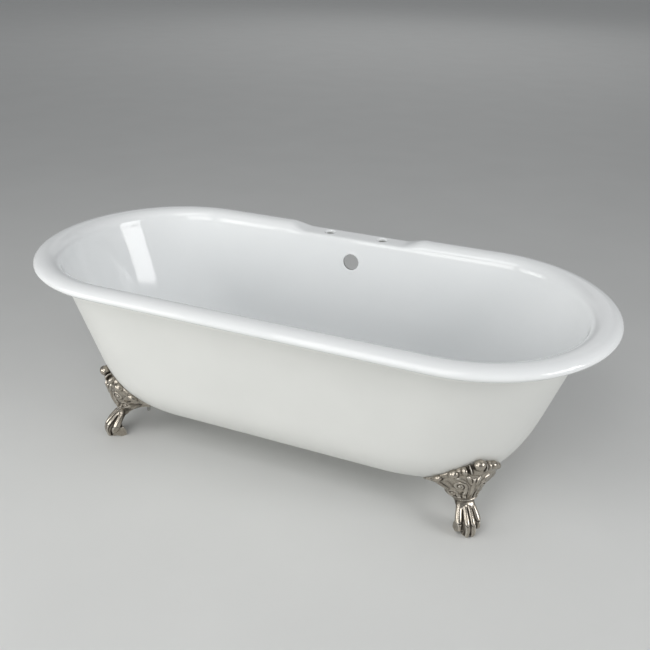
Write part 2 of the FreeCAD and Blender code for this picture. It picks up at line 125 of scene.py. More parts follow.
def rim_section():
    """(w, h) round the rim: w inwards from the outer line, h from the top of the roll."""
    roll, deck = [], []
    ai, bi = ROLL_A - ROLL_T, ROLL_B - ROLL_T * 0.95
    roll += [(66.0, -52.0), (65.2, -42.0), (63.0, -31.0)]
    deck += [(66.0, -54.0), (65.6, -46.0), (64.0, -38.0)]
    for t in (160.0, 135.0, 112.0, 90.0, 66.0, 42.0, 18.0, -8.0, -34.0):
        r = math.radians(t)
        roll.append((ROLL_A - ai * math.cos(r), -ROLL_B + bi * math.sin(r)))
    deck += [(59.0, -31.5), (52.0, -28.5), (42.0, -27.4), (32.0, -27.2), (23.0, -27.2),
             (16.0, -27.6), (12.2, -29.2), (10.6, -31.4), (10.4, -33.4)]
    roll += [(15.6, -28.0), (15.4, -31.0), (13.4, -32.6), (10.8, -31.6)]
    deck += [(10.0, -35.2), (9.0, -36.6), (7.2, -37.4), (4.8, -36.8)]
    for t in (-36.0, -16.0, 4.0, 24.0, 44.0, 64.0, 82.0, 97.0):
        r = math.radians(t)
        roll.append((ROLL_A - ROLL_A * math.cos(r), -ROLL_B + ROLL_B * math.sin(r)))
    deck += [(2.6, -35.0), (1.2, -31.4), (0.8, -27.2), (1.6, -22.8), (4.4, -19.4),
             (10.0, -18.2), (20.0, -18.0), (31.0, -18.0)]
    roll += [(44.0, -1.35), (51.0, -3.9), (57.4, -8.0), (62.6, -13.6), (66.4, -20.4),
             (69.0, -28.4), (70.9, -38.0), (72.4, -50.0)]
    deck += [(42.0, -18.0), (53.0, -18.1), (61.0, -18.6), (67.0, -20.0), (71.2, -23.4),
             (73.6, -29.6), (74.7, -38.6), (75.4, -50.0)]
    return roll, deck


def mix(a, b, k):
    return a + (b - a) * k


def build_rows():
    stations = plan_stations()
    roll, deck = rim_section()
    rows = []

    def wall_ring(z, inset):
        a, b, s = half_sizes(z, inset)
        return [(*plan_point(k, v, a, b, s), z) for (k, v) in stations]

    def scaled_ring(z_ref, inset, z, f):
        a, b, s = half_sizes(z_ref, inset)
        s2 = s * (1 - (1 - f) * 0.6)
        a2 = a - (b * (1 - f))
        return [(*plan_point(k, v, a2, b * f, s2), z) for (k, v) in stations]

    def wall_offset(k, v, h, inset):
        a, b, s = half_sizes(HEIGHT + h, inset)
        px, py = plan_point(k, v, a, b, s)
        x, y, nx, ny = rim_frame(k, v)
        dx, dy = px - x, py - y
        return -(dx * nx + dy * ny), dx * -ny + dy * nx

    rows.append(scaled_ring(BODY_BOT, 0.0, BODY_BOT, 0.80))
    rows.append(scaled_ring(BODY_BOT, 0.0, BODY_BOT, 0.90))
    for k in (0.0, 0.012, 0.035, 0.075, 0.13, 0.20, 0.28, 0.37, 0.47, 0.58, 0.70, 0.82, 0.93):
        rows.append(wall_ring(BODY_BOT + (BODY_TOP - 45.0 - BODY_BOT) * k, 0.0))
    first_rim = len(rows)
    for i, (r, d) in enumerate(zip(roll, deck)):
        row = []
        for (k, v) in stations:
            x, y, nx, ny = rim_frame(k, v)
            m = deck_amount(k, v)
            w, h, tang = mix(r[0], d[0], m), mix(r[1], d[1], m), 0.0
            if i < OUTER_WALL_POINTS:
                w, tang = wall_offset(k, v, h, 0.0)
            elif i < OUTER_WALL_POINTS + 4:
                wo, tang = wall_offset(k, v, -36.0, 0.0)
                f = (OUTER_WALL_POINTS + 4 - i) / 5.0
                w += (wo - 64.5) * f
                tang *= f
            elif w > ROLL_A and i >= len(roll) - INNER_POINTS:
                wi, tang = wall_offset(k, v, -50.0, WALL + 1.0)
                wi2, _ = wall_offset(k, v, -60.0, WALL + 1.0)
                slope = (wi2 - wi) / 10.0
                w_last = mix(roll[-1][0], deck[-1][0], m)
                f = (w - ROLL_A) / (w_last - ROLL_A)
                w = ROLL_A + (w - ROLL_A) * (wi - ROLL_A) / (w_last - ROLL_A)
                w -= max(0.0, slope - 0.12) * (50.0 + h) * (h / 50.0) ** 2
                tang *= f
            row.append((x - nx * w - ny * tang, y - ny * w + nx * tang, HEIGHT + h))
        rows.append(row)
    first_inner = len(rows)
    zi_top, zi_bot = HEIGHT - 64.0, BODY_BOT + WALL + 1.0
    for k in (1.0, 0.93, 0.84, 0.73, 0.61, 0.49, 0.38, 0.28, 0.20, 0.13, 0.075, 0.035, 0.012, 0.0):
        rows.append(wall_ring(zi_bot + (zi_top - zi_bot) * k, WALL + 1.0))
    rows.append(scaled_ring(zi_bot, WALL + 1.0, zi_bot, 0.90))
    rows.append(scaled_ring(zi_bot, WALL + 1.0, zi_bot, 0.80))
    return np.array(rows, float), first_rim, first_inner


class RowSurface:
    """Smooth surface through the rows: closed round the plan, natural across it."""

    def __init__(self, rows):
        self.nr, self.nc = rows.shape[:2]
        n = self.nc
        m = np.zeros((n, n))
        for i in range(n):
            m[i, i], m[i, (i + 1) % n], m[i, i - 1] = 4 / 6, 1 / 6, 1 / 6
        c = np.einsum("ij,rjk->rik", np.linalg.inv(m), rows)
        n = self.nr
        m = np.zeros((n + 2, n + 2))
        for i in range(n):
            m[i + 1, i:i + 3] = (1 / 6, 4 / 6, 1 / 6)
        m[0, :3] = (1, -2, 1)
        m[-1, -3:] = (1, -2, 1)
        rhs = np.zeros((n + 2,) + c.shape[1:])
        rhs[1:-1] = c
        self.c = np.einsum("ij,jkl->ikl", np.linalg.inv(m), rhs)

    @staticmethod
    def basis(t):
        return np.stack([(1 - t) ** 3, 3 * t ** 3 - 6 * t ** 2 + 4,
                         -3 * t ** 3 + 3 * t ** 2 + 3 * t + 1, t ** 3], -1) / 6.0

    def at(self, r, c):
        r, c = np.broadcast_arrays(np.asarray(r, float), np.asarray(c, float))
        ri = np.clip(np.floor(r).astype(int), 0, self.nr - 2)
        ci = np.floor(c).astype(int)
        br, bc = self.basis(r - ri), self.basis(c - ci)
        out = np.zeros(r.shape + (3,))
        for i in range(4):
            for j in range(4):
                p = self.c[ri + i, (ci + j - 1) % self.nc]
                out += (br[..., i] * bc[..., j])[..., None] * p
        return out


SUB = 4


def ripple(p, n, amount, seed):
    """Slow unevenness of a casting: moves points inwards by 0..amount mm."""
    rng = np.random.default_rng(seed)
    h = np.zeros(len(p))
    for wl in (310.0, 190.0, 120.0, 85.0):
        for _ in range(4):
            d = rng.normal(size=3)
            d /= np.linalg.norm(d)
            h += np.sin(p @ d * (2 * math.pi / wl) + rng.uniform(0, 6.28)) * (wl / 310.0) ** 0.9
    h = h / 8.0
    return p - n * (amount * np.clip(0.5 + 0.5 * h, 0, 1))[:, None]


def grid_normals(pts):
    du = np.roll(pts, -1, 1) - np.roll(pts, 1, 1)
    dv = np.empty_like(pts)
    dv[1:-1] = pts[2:] - pts[:-2]
    dv[0], dv[-1] = pts[1] - pts[0], pts[-1] - pts[-2]
    n = np.cross(du, dv)
    return n / np.maximum(np.linalg.norm(n, axis=2), 1e-9)[..., None]


class MeshBag:
    """Collects points and faces with a material number for each face."""

    def __init__(self):
        self.v, self.f, self.m = [], [], []
        self.n = 0

    def add(self, pts):
        pts = np.asarray(pts, float).reshape(-1, 3)
        i0 = self.n
        self.v.append(pts)
        self.n += len(pts)
        return np.arange(i0, i0 + len(pts))

    def face(self, ids, mat):
        self.f.append([int(i) for i in ids])
        self.m.append(mat)

    def mesh(self, name, scale=0.001):
        me = bpy.data.meshes.new(name)
        pts = np.vstack(self.v)
        pts[:, 2] = np.minimum(pts[:, 2], HEIGHT + 0.06)
        me.from_pydata((pts * scale).tolist(), [], self.f)
        me.polygons.foreach_set("material_index", self.m)
        me.polygons.foreach_set("use_smooth", [True] * len(self.f))
        me.update()
        return me


def build_tub():
    rows, first_rim, first_inner = build_rows()
    surf = RowSurface(rows)
    nr, nc = surf.nr, surf.nc
    R = np.arange((nr - 1) * SUB + 1) / SUB
    C = np.arange(nc * SUB) / SUB
    pts = surf.at(R[:, None], C[None, :])
    nrf, ncf = pts.shape[:2]
    stations = plan_stations()

    def col_of(x):
        """Station number of a point x on the straight back side."""
        xs = [v * RIM_STRAIGHT if k == "b" else None for k, v in stations]
        best = min((abs(q - x), i) for i, q in enumerate(xs) if q is not None)
        return best[1]

    # sense: normals of the grid point out of the metal
    nrm = grid_normals(pts)
    mid = nrf // 8
    if np.dot(nrm[mid, 0], (0, -1, 0)) < 0:
        nrm = -nrm
        flip = True
    else:
        flip = False
    # casting unevenness, calmed near the rim
    rr = R[:, None] * np.ones((1, ncf))
    calm = np.clip((np.abs(rr - (first_rim + 16)) - 14.0) / 8.0, 0.0, 1.0)
    flat = ripple(pts.reshape(-1, 3), nrm.reshape(-1, 3), 0.55, 7).reshape(pts.shape) - pts
    pts = pts + flat * calm[..., None]

    def shift_at(r, c):
        """The same unevenness for points between the grid's points."""
        p = surf.at(r, c)
        e = 0.02
        du = surf.at(r, c + e) - surf.at(r, c - e)
        dv = surf.at(np.minimum(r + e, nr - 1.0), c) - surf.at(np.maximum(r - e, 0.0), c)
        n = np.cross(du, dv)
        n /= np.maximum(np.linalg.norm(n, axis=-1), 1e-12)[..., None]
        if flip:
            n = -n
        cm = np.clip((np.abs(np.asarray(r) - (first_rim + 16)) - 14.0) / 8.0, 0.0, 1.0)
        q = ripple(p.reshape(-1, 3), n.reshape(-1, 3), 0.55, 7).reshape(p.shape)
        return p + (q - p) * cm[..., None], n

    bag = MeshBag()
    ids = bag.add(pts).reshape(nrf, ncf)
    removed = np.zeros((nrf - 1, ncf), bool)

    # material by row: 0 enamel, 1 paint
    free_edge = (first_rim + OUTER_WALL_POINTS + 9) * SUB
    row_mat = np.where(np.arange(nrf - 1) < free_edge, 1, 0)

    def loop_of(r0, r1, c0, c1):
        """Grid vertices round a block, as (row, column) in fine steps."""
        out = [(r0, c) for c in range(c0, c1)] + [(r, c1) for r in range(r0, r1)]
        out += [(r1, c) for c in range(c1, c0, -1)] + [(r, c0) for r in range(r1, r0, -1)]
        return out

    def hole(r0, r1, c0, c1, centre, axis, radius, lip, mat, rings=7, bead=0.0):
        """Opens a round hole in the block and returns the ids of its inner ring.
        axis points out of the metal there. bead is how far the enamel stands up
        round the edge."""
        r0, r1, c0, c1 = r0 * SUB, r1 * SUB, c0 * SUB, c1 * SUB
        removed[r0:r1, c0:c1] = True
        loop = loop_of(r0, r1, c0, c1)
        m = len(loop)
        axis = np.array(axis, float)
        e1 = np.cross((0.3, 0.2, 1.0) if abs(axis[2]) < 0.9 else (1.0, 0.1, 0.0), axis)
        e1 /= np.linalg.norm(e1)
        e2 = np.cross(axis, e1)
        lr = np.array([(a / SUB, b / SUB) for a, b in loop])
        P = surf.at(lr[:, 0], lr[:, 1]) - centre
        ang = np.unwrap(np.arctan2(P @ e2, P @ e1))
        sgn = 1.0 if ang[-1] > ang[0] else -1.0
        off = np.mean(ang - sgn * 2 * math.pi * np.arange(m) / m)
        th = off + sgn * 2 * math.pi * np.arange(m) / m
        rad = radius + lip
        want = np.stack([rad * np.cos(th), rad * np.sin(th)], -1)
        rc = np.tile([(r0 + r1) / 2 / SUB, (c0 + c1) / 2 / SUB], (m, 1)).astype(float)
        for _ in range(25):
            p = surf.at(rc[:, 0], rc[:, 1]) - centre
            e = 1e-3
            pr = (surf.at(rc[:, 0] + e, rc[:, 1]) - centre - p) / e
            pc = (surf.at(rc[:, 0], rc[:, 1] + e) - centre - p) / e
            res = want - np.stack([p @ e1, p @ e2], -1)
            a, b, c, d = pr @ e1, pc @ e1, pr @ e2, pc @ e2
            det = a * d - b * c
            step = np.stack([(d * res[:, 0] - b * res[:, 1]) / det,
                             (-c * res[:, 0] + a * res[:, 1]) / det], -1)
            rc += np.clip(step, -0.6, 0.6)
        prev = np.array([ids[a, b % ncf] for a, b in loop])
        for k in range(1, rings + 1):
            w = (k / rings) ** 0.8
            q = lr + (rc - lr) * w
            p, n = shift_at(q[:, 0], q[:, 1])
            gap = np.hypot((p - centre) @ e1, (p - centre) @ e2) - rad
            p = p + axis * bead * (np.clip(1.0 - gap / 8.0, 0.0, 1.0) ** 1.5)[:, None]
            cur = bag.add(p)
            for j in range(m):
                j2 = (j + 1) % m
                quad = [prev[j], prev[j2], cur[j2], cur[j]]
                bag.face(quad if flip else quad[::-1], mat)
            prev = cur
        base, _ = shift_at(rc[:, 0], rc[:, 1])
        base = base + axis * bead
        # rounded edge
        radial = np.cos(th)[:, None] * e1 + np.sin(th)[:, None] * e2
        steps = 7
        for k in range(1, steps + 1):
            a = math.pi / 2 * k / steps
            p = base - radial * (lip * math.sin(a)) - axis * (lip * (1 - math.cos(a)))
            cur = bag.add(p)
            for j in range(m):
                j2 = (j + 1) % m
                quad = [prev[j], prev[j2], cur[j2], cur[j]]
                bag.face(quad if flip else quad[::-1], mat)
            prev = cur
        return prev, th, (e1, e2), sgn

    def tie(a, b, mat, invert):
        """Wall of a hole between two rings, matched by nearest start."""
        va, vb = np.vstack(bag.v)[a], np.vstack(bag.v)[b]
        n = len(a)
        best = None
        for s in (1, -1):
            for o in range(n):
                idx = (o + s * np.arange(n)) % n
                d = np.sum((va - vb[idx]) ** 2)
                if best is None or d < best[0]:
                    best = (d, idx)
        b = b[best[1]]
        for j in range(n):
            j2 = (j + 1) % n
            quad = [a[j], a[j2], b[j2], b[j]]
            bag.face(quad[::-1] if invert else quad, mat)

    k_in = [1.0, 0.93, 0.84, 0.73, 0.61]
    # faucet holes: deck top and deck underside
    for sx in (1, -1):
        cs = sorted((col_of(sx * 130.0), col_of(sx * 37.0)))
        centre = np.array([sx * FAUCET_SPACING / 2, HALF_W - FAUCET_IN, HEIGHT - 18.0])
        top0 = first_rim + OUTER_WALL_POINTS + 9 + 4 + 5
        under0 = first_rim + OUTER_WALL_POINTS
        a, *_ = hole(top0, top0 + 5, cs[0], cs[1], centre, (0, 0, 1), FAUCET_R, 4.2, 0)
        b, *_ = hole(under0, under0 + 5, cs[0], cs[1], centre - (0, 0, 9.2), (0, 0, -1), FAUCET_R, 0.7, 1)
        tie(a, b, 0, not flip)
    # overflow: inner wall and outer wall
    lean = math.atan(SLOPE_W)
    out = np.array([0.0, math.cos(lean), -math.sin(lean)])
    mid_wall = np.array([0.0, 309.49, OVERFLOW_Z - 0.38])
    cs = sorted((col_of(72.0), col_of(-72.0)))
    a, *_ = hole(first_inner - 1, first_inner + 3, cs[0], cs[1], mid_wall - out * 4, -out, OVERFLOW_R, 4.2, 0, 9, 1.3)
    b, *_ = hole(first_rim - 4, first_rim, cs[0], cs[1], mid_wall + out * 4, out, OVERFLOW_R, 0.7, 1)
    tie(a, b, 2, not flip)

    for i in range(nrf - 1):
        m = int(row_mat[i])
        for j in range(ncf):
            if removed[i, j]:
                continue
            j2 = (j + 1) % ncf
            quad = [ids[i, j], ids[i, j2], ids[i + 1, j2], ids[i + 1, j]]
            bag.face(quad if flip else quad[::-1], m)

    # flat bottoms with the drain hole, outside and inside
    def bottom(ring_ids, z, profile, mat, up, slope):
        """profile: (radius, depth) rings of the drain's seat, outermost first."""
        ring = np.vstack(bag.v)[ring_ids]
        m = 96
        th = 2 * math.pi * np.arange(m) / m
        r0 = profile[0][0]
        circ = np.stack([r0 * np.cos(th), DRAIN_Y + r0 * np.sin(th), np.full(m, z)], -1)
        inner = []
        # rows of free points keep the triangles even
        xs = np.arange(-520, 521, 26.0)
        ys = np.arange(-96, 97, 24.0)
        poly = ring[:, :2]
        for x in xs:
            for y in ys:
                if math.hypot(x, y - DRAIN_Y) < r0 + 12:
                    continue
                # inside the ring by a margin
                d = np.min(np.hypot(poly[:, 0] - x, poly[:, 1] - y))
                cx = np.interp(abs(x), [0, 268, 539], [1, 1, 0.0])
                if d < 12 or abs(y) > 104 or (abs(x) > 268 and ((abs(x) - 268) / 271.0) ** 2 + (y / 104.0) ** 2 > 0.86):
                    continue
                inner.append((x, y))
        pts2 = [Vector(p[:2]) for p in ring] + [Vector(p[:2]) for p in circ] + [Vector(p) for p in inner]
        nb = len(ring)
        edges = [(i, (i + 1) % nb) for i in range(nb)] + [(nb + i, nb + (i + 1) % m) for i in range(m)]
        vo, _, fo, ov, _, _ = delaunay_2d_cdt(pts2, edges, [], 0, 1e-6)
        ids_c = bag.add(circ)
        ids_i = bag.add(np.array([(x, y, z) for x, y in inner]))
        allid = np.concatenate([ring_ids, ids_c, ids_i])
        new = {}

        def vid(k):
            if ov[k]:
                return allid[ov[k][0]]
            if k not in new:
                new[k] = bag.add([(vo[k].x, vo[k].y, z)])[0]
            return new[k]

        for f in fo:
            cen = sum((vo[k] for k in f), Vector((0, 0))) / len(f)
            if math.hypot(cen.x, cen.y - DRAIN_Y) < r0 - 0.4:
                continue
            if abs(cen.x) > 268 and ((abs(cen.x) - 268.4) / 270.9) ** 2 + (cen.y / 103.9) ** 2 > 1.001:
                continue
            if abs(cen.y) > 104.5:
                continue
            q = [vid(k) for k in f]
            area = 0.0
            for i in range(len(f)):
                p1, p2 = vo[f[i]], vo[f[(i + 1) % len(f)]]
                area += p1.x * p2.y - p2.x * p1.y
            if (area > 0) != up:
                q = q[::-1]
            bag.face(q, mat)
        prev = ids_c
        for r, dz in profile[1:]:
            p = np.stack([r * np.cos(th), DRAIN_Y + r * np.sin(th), np.full(m, z + dz)], -1)
            cur = bag.add(p)
            for j in range(m):
                j2 = (j + 1) % m
                quad = [prev[j], prev[j2], cur[j2], cur[j]]
                bag.face(quad if up else quad[::-1], mat)
            prev = cur
        return prev

    seat = [(48.0, 0.0), (46.0, -0.12), (43.5, -0.55), (41.0, -1.15), (38.0, -1.7), (35.0, -2.0), (31.0, -2.15),
            (28.4, -2.35), (26.7, -3.0), (25.7, -4.0), (25.4, -5.2)]
    di = bottom(ids[-1], BODY_BOT + WALL + 1.0, seat, 0, True, 0)
    do = bottom(ids[0], BODY_BOT, [(27.0, 0.0), (26.2, 0.15), (25.6, 0.5), (25.4, 1.0)], 1, False, 0)
    tie(di, do, 2, False)

    # cast-on bosses for the feet's studs, flared into the bottom
    c, s = math.cos(math.radians(FOOT_AZ)), math.sin(math.radians(FOOT_AZ))
    bx, by = PAW_X - STUD_IN * c, PAW_Y - STUD_IN * s
    prof = [(4.75, BOSS_LOW + 9.0), (4.75, BOSS_LOW + 0.6), (5.4, BOSS_LOW), (BOSS_R - 1.2, BOSS_LOW),
            (BOSS_R - 0.3, BOSS_LOW + 0.3), (BOSS_R, BOSS_LOW + 1.2), (BOSS_R + 0.5, BOSS_LOW + 4.5),
            (BOSS_R + 1.6, BOSS_LOW + 8.0), (BOSS_R + 3.6, BOSS_LOW + 11.0), (BOSS_R + 4.0, BOSS_LOW + 16.0)]
    nb = 48
    th = 2 * math.pi * np.arange(nb) / nb
    for sx in (1, -1):
        for sy in (1, -1):
            prev = None
            for r, z in prof:
                cur = bag.add(np.stack([sx * bx + r * np.cos(th), sy * by + r * np.sin(th), np.full(nb, z)], -1))
                if prev is not None:
                    for j in range(nb):
                        j2 = (j + 1) % nb
                        bag.face([prev[j], cur[j], cur[j2], prev[j2]], 1)
                prev = cur
    return bag.mesh("bathtub_casting")


# =====================================================================
# Claw feet, sculpted as one field of distances per foot
# =====================================================================
def smin(a, b, k):
    h = np.maximum(k - np.abs(a - b), 0.0) / k
    return np.minimum(a, b) - h * h * k * 0.25


def smax(a, b, k):
    return -smin(-a, -b, k)


def catmull(xs, ys, x):
    """Smooth curve through (xs, ys), xs rising."""
    xs, ys = np.asarray(xs, float), np.asarray(ys, float)
    x = np.clip(x, xs[0], xs[-1])
    m = np.gradient(ys, xs)
    i = np.clip(np.searchsorted(xs, x) - 1, 0, len(xs) - 2)
    h = xs[i + 1] - xs[i]
    t = (x - xs[i]) / h
    return ((2 * t ** 3 - 3 * t ** 2 + 1) * ys[i] + (t ** 3 - 2 * t ** 2 + t) * h * m[i]
            + (-2 * t ** 3 + 3 * t ** 2) * ys[i + 1] + (t ** 3 - t ** 2) * h * m[i + 1])


CU, SU = math.cos(math.radians(FOOT_AZ)), math.sin(math.radians(FOOT_AZ))


def foot_to_world(u, v, z):
    return PAW_X + CU * u + SU * v, -PAW_Y - SU * u + CU * v, z


def world_to_foot(x, y, z):
    dx, dy = x - PAW_X, y + PAW_Y
    return dx * CU - dy * SU, dx * SU + dy * CU, z


def body_surface(t, z):
    a, b, s = half_sizes(z)
    r = np.radians(t)
    return np.stack([s + (a - s) * np.cos(r), -b * np.sin(r), z + 0 * r], -1)


def body_normal(t, z):
    d1 = body_surface(t + 0.2, z) - body_surface(t - 0.2, z)
    d2 = body_surface(t, z + 0.6) - body_surface(t, np.maximum(z - 0.6, BODY_BOT + 0.05))
    n = np.cross(d1, d2)
    n /= np.linalg.norm(n, axis=-1)[..., None]
    r = np.radians(t)
    sign = np.where(n[..., 0] * np.cos(r) - n[..., 1] * np.sin(r) < 0, -1.0, 1.0)
    return n * sign[..., None]


def closest_on_body(P):
    """(t, z, distance out) of points near the body's lower front right end."""
    t = np.full(len(P), 46.5)
    a, b, s = half_sizes(np.full(len(P), 190.0))
    t = np.degrees(np.arctan2(-P[:, 1] / b, np.maximum(P[:, 0] - s, 1.0) / (a - s)))
    z = np.clip(P[:, 2], 97.0, 330.0)
    for _ in range(14):
        S = body_surface(t, z)
        d1 = (body_surface(t + 0.25, z) - body_surface(t - 0.25, z)) / 0.5
        d2 = (body_surface(t, z + 0.4) - body_surface(t, z - 0.4)) / 0.8
        r = P - S
        a11, a12, a22 = (d1 * d1).sum(1), (d1 * d2).sum(1), (d2 * d2).sum(1)
        b1, b2 = (d1 * r).sum(1), (d2 * r).sum(1)
        det = np.maximum(a11 * a22 - a12 * a12, 1e-6)
        dt, dz = (a22 * b1 - a12 * b2) / det, (a11 * b2 - a12 * b1) / det
        t = np.clip(t + np.clip(dt, -6, 6) * 0.8, -25, 115)
        z = np.clip(z + np.clip(dz, -15, 15) * 0.8, 92.8, 340.0)
    S = body_surface(t, z)
    n = body_normal(t, z)
    return t, z, ((P - S) * n).sum(1)


class Field:
    def __init__(self, lo, hi, h):
        self.lo, self.h = np.array(lo, float), h
        self.n = [int(round((hi[i] - lo[i]) / h)) + 1 for i in range(3)]
        self.ax = [(lo[i] + h * np.arange(self.n[i])).astype(np.float32) for i in range(3)]
        self.F = np.full(self.n, 30.0, np.float32)

    def block(self, lo, hi, pad=0.0):
        sl = []
        for i in range(3):
            a = max(0, int(math.floor((lo[i] - pad - self.lo[i]) / self.h)))
            b = min(self.n[i], int(math.ceil((hi[i] + pad - self.lo[i]) / self.h)) + 1)
            sl.append(slice(a, max(b, a + 1)))
        X = self.ax[0][sl[0]][:, None, None]
        Y = self.ax[1][sl[1]][None, :, None]
        Z = self.ax[2][sl[2]][None, None, :]
        return tuple(sl), X, Y, Z

    def cone(self, p, q, r1, r2, k, cut=False):
        """Adds (or cuts) a round-ended tapered rod."""
        p, q = np.array(p, np.float32), np.array(q, np.float32)
        lo, hi = np.minimum(p, q) - max(r1, r2), np.maximum(p, q) + max(r1, r2)
        sl, X, Y, Z = self.block(lo, hi, k + 4.0)
        d = q - p
        L2 = float(d @ d) + 1e-9
        t = np.clip(((X - p[0]) * d[0] + (Y - p[1]) * d[1] + (Z - p[2]) * d[2]) / L2, 0.0, 1.0)
        dist = np.sqrt((X - p[0] - t * d[0]) ** 2 + (Y - p[1] - t * d[1]) ** 2 + (Z - p[2] - t * d[2]) ** 2)
        sd = dist - (r1 + (r2 - r1) * t)
        self.F[sl] = smax(self.F[sl], -sd, k) if cut else smin(self.F[sl], sd, k)

    def chain(self, pts, k, cut=False):
        for a, b in zip(pts[:-1], pts[1:]):
            self.cone(a[:3], b[:3], a[3], b[3], k, cut)

    def tube(self, pts, k, cut=False, fine=5):
        """Adds (or cuts) one smooth rod through all points."""
        a = np.array(pts, float)
        i = np.arange(len(a), dtype=float)
        x = np.linspace(0, len(a) - 1.0, (len(a) - 1) * fine + 1)
        a = np.stack([catmull(i, a[:, c], x) for c in range(4)], 1).astype(np.float32)
        big = float(a[:, 3].max())
        sl, X, Y, Z = self.block(a[:, :3].min(0) - big, a[:, :3].max(0) + big, k + 4.0)
        best = None
        for p, q in zip(a[:-1], a[1:]):
            d = q[:3] - p[:3]
            t = np.clip(((X - p[0]) * d[0] + (Y - p[1]) * d[1] + (Z - p[2]) * d[2]) / (float(d @ d) + 1e-9), 0.0, 1.0)
            sd = np.sqrt((X - p[0] - t * d[0]) ** 2 + (Y - p[1] - t * d[1]) ** 2 + (Z - p[2] - t * d[2]) ** 2)
            sd -= p[3] + (q[3] - p[3]) * t
            best = sd if best is None else np.minimum(best, sd)
        self.F[sl] = smax(self.F[sl], -best, k) if cut else smin(self.F[sl], best, k)

    def blob(self, c, axes, radii, k, cut=False):
        """Ellipsoid with centre c and unit axes (rows)."""
        r = max(radii)
        sl, X, Y, Z = self.block(np.array(c) - r, np.array(c) + r, k + 4.0)
        q = [((X - c[0]) * a[0] + (Y - c[1]) * a[1] + (Z - c[2]) * a[2]) for a in axes]
        k0 = np.sqrt(sum((q[i] / radii[i]) ** 2 for i in range(3)))
        k1 = np.sqrt(sum((q[i] / radii[i] ** 2) ** 2 for i in range(3))) + 1e-6
        sd = k0 * (k0 - 1.0) / k1
        self.F[sl] = smax(self.F[sl], -sd, k) if cut else smin(self.F[sl], sd, k)


def fan_top(k):
    return 122.0 + 94.0 * (1.0 - np.abs(k) ** 2.2)


def ornament():
    """Heights of the relief, drawn flat as seen from in front: rows -116..116 across, columns z 86..246."""
    xs = np.arange(-116.0, 116.1, 0.5)
    zs = np.arange(86.0, 246.5, 0.5)
    X, Z = np.meshgrid(xs, zs, indexing="ij")
    A = np.abs(X)
    H = np.zeros_like(X)

    def stroke(pts, h, both=True, sharp=1.0):
        nonlocal H
        best = np.full(X.shape, 1e9)
        rad = np.ones(X.shape)
        XX = A if both else X
        for (x0, z0, w0), (x1, z1, w1) in zip(pts[:-1], pts[1:]):
            dx, dz = x1 - x0, z1 - z0
            t = np.clip(((XX - x0) * dx + (Z - z0) * dz) / (dx * dx + dz * dz + 1e-9), 0, 1)
            d = np.hypot(XX - x0 - t * dx, Z - z0 - t * dz)
            w = w0 + (w1 - w0) * t
            better = d / w < best / rad
            best = np.where(better, d, best)
            rad = np.where(better, w, rad)
        q = np.clip(1.0 - (best / rad) ** 2, 0, 1)
        H = np.maximum(H, h * q ** (0.5 * sharp)) if h > 0 else np.where(q > 0, np.minimum(H, h * q ** 0.5), H)

    def curve(fn, n=26):
        return [fn(i / (n - 1.0)) for i in range(n)]

    # large volutes each side of the middle
    def volute(cx, cz, r0, r1, a0, turns, w0, w1, sgn=1.0):
        def fn(t):
            a = math.radians(a0 + sgn * 360.0 * turns * t)
            r = r0 + (r1 - r0) * t ** 0.8
            return cx + r * math.cos(a), cz + r * math.sin(a), w0 + (w1 - w0) * t
        return curve(fn, 34)

    # stem
    stroke([(0, 98, 5.6), (0, 122, 5.0), (0, 150, 4.4), (0, 172, 3.4)], 4.0)
    # arms that rise from the collar and curl outwards into volutes
    arm = [(11.0, 98.0, 4.6), (14.5, 110.0, 4.8), (15.5, 124.0, 4.6), (15.0, 136.0, 4.4)]
    vol = volute(30.0, 143.0, 15.0, 5.2, 188.0, 1.15, 4.3, 3.4, -1.0)
    stroke(arm + vol, 4.4)
    stroke([(31.0, 142.0, 4.6), (31.1, 142.1, 4.6)], 5.4)
    # lower, smaller pair
    arm = [(24.0, 99.0, 3.8), (28.5, 106.0, 3.9)]
    vol = volute(42.0, 112.0, 11.0, 4.4, 190.0, 1.05, 3.7, 3.0, -1.0)
    stroke(arm + vol, 3.6)
    stroke([(42.5, 112.0, 3.6), (42.6, 112.1, 3.6)], 4.6)
    # leaf blades above the volutes, towards the beads
    stroke([(5.5, 156.0, 3.4), (10.0, 166.0, 5.4), (15.0, 177.0, 4.2)], 4.2)
    stroke([(22.0, 162.0, 3.4), (33.0, 168.0, 5.2), (45.0, 172.0, 3.4)], 3.8)
    # long smooth blades over the wings, with a valley between
    stroke([(48.0, 134.0, 4.0), (60.0, 145.0, 8.0), (72.0, 155.0, 5.0)], 2.6, sharp=1.3)
    stroke([(54.0, 119.0, 4.0), (70.0, 128.0, 7.0), (86.0, 137.0, 4.0)], 2.2, sharp=1.3)
    # grooves that part the arms, the volutes and the wing blades
    stroke([(8.2, 98.0, 1.6), (9.6, 112.0, 1.8), (9.8, 126.0, 1.6)], -2.2)
    stroke([(20.5, 100.0, 1.6), (22.5, 112.0, 2.0), (20.5, 124.0, 1.8)], -2.2)
    stroke([(50.0, 126.0, 1.8), (66.0, 137.0, 2.4), (82.0, 148.0, 1.8)], -2.2)
    return xs, zs, H


def sample2(ks, zs, H, K, Z):
    fi = np.clip((K - ks[0]) / (ks[1] - ks[0]), 0, len(ks) - 1.001)
    fj = np.clip((Z - zs[0]) / (zs[1] - zs[0]), 0, len(zs) - 1.001)
    i, j = fi.astype(np.int32), fj.astype(np.int32)
    a, b = (fi - i).astype(np.float32), (fj - j).astype(np.float32)
    return (H[i, j] * (1 - a) * (1 - b) + H[i + 1, j] * a * (1 - b)
            + H[i, j + 1] * (1 - a) * b + H[i + 1, j + 1] * a * b)


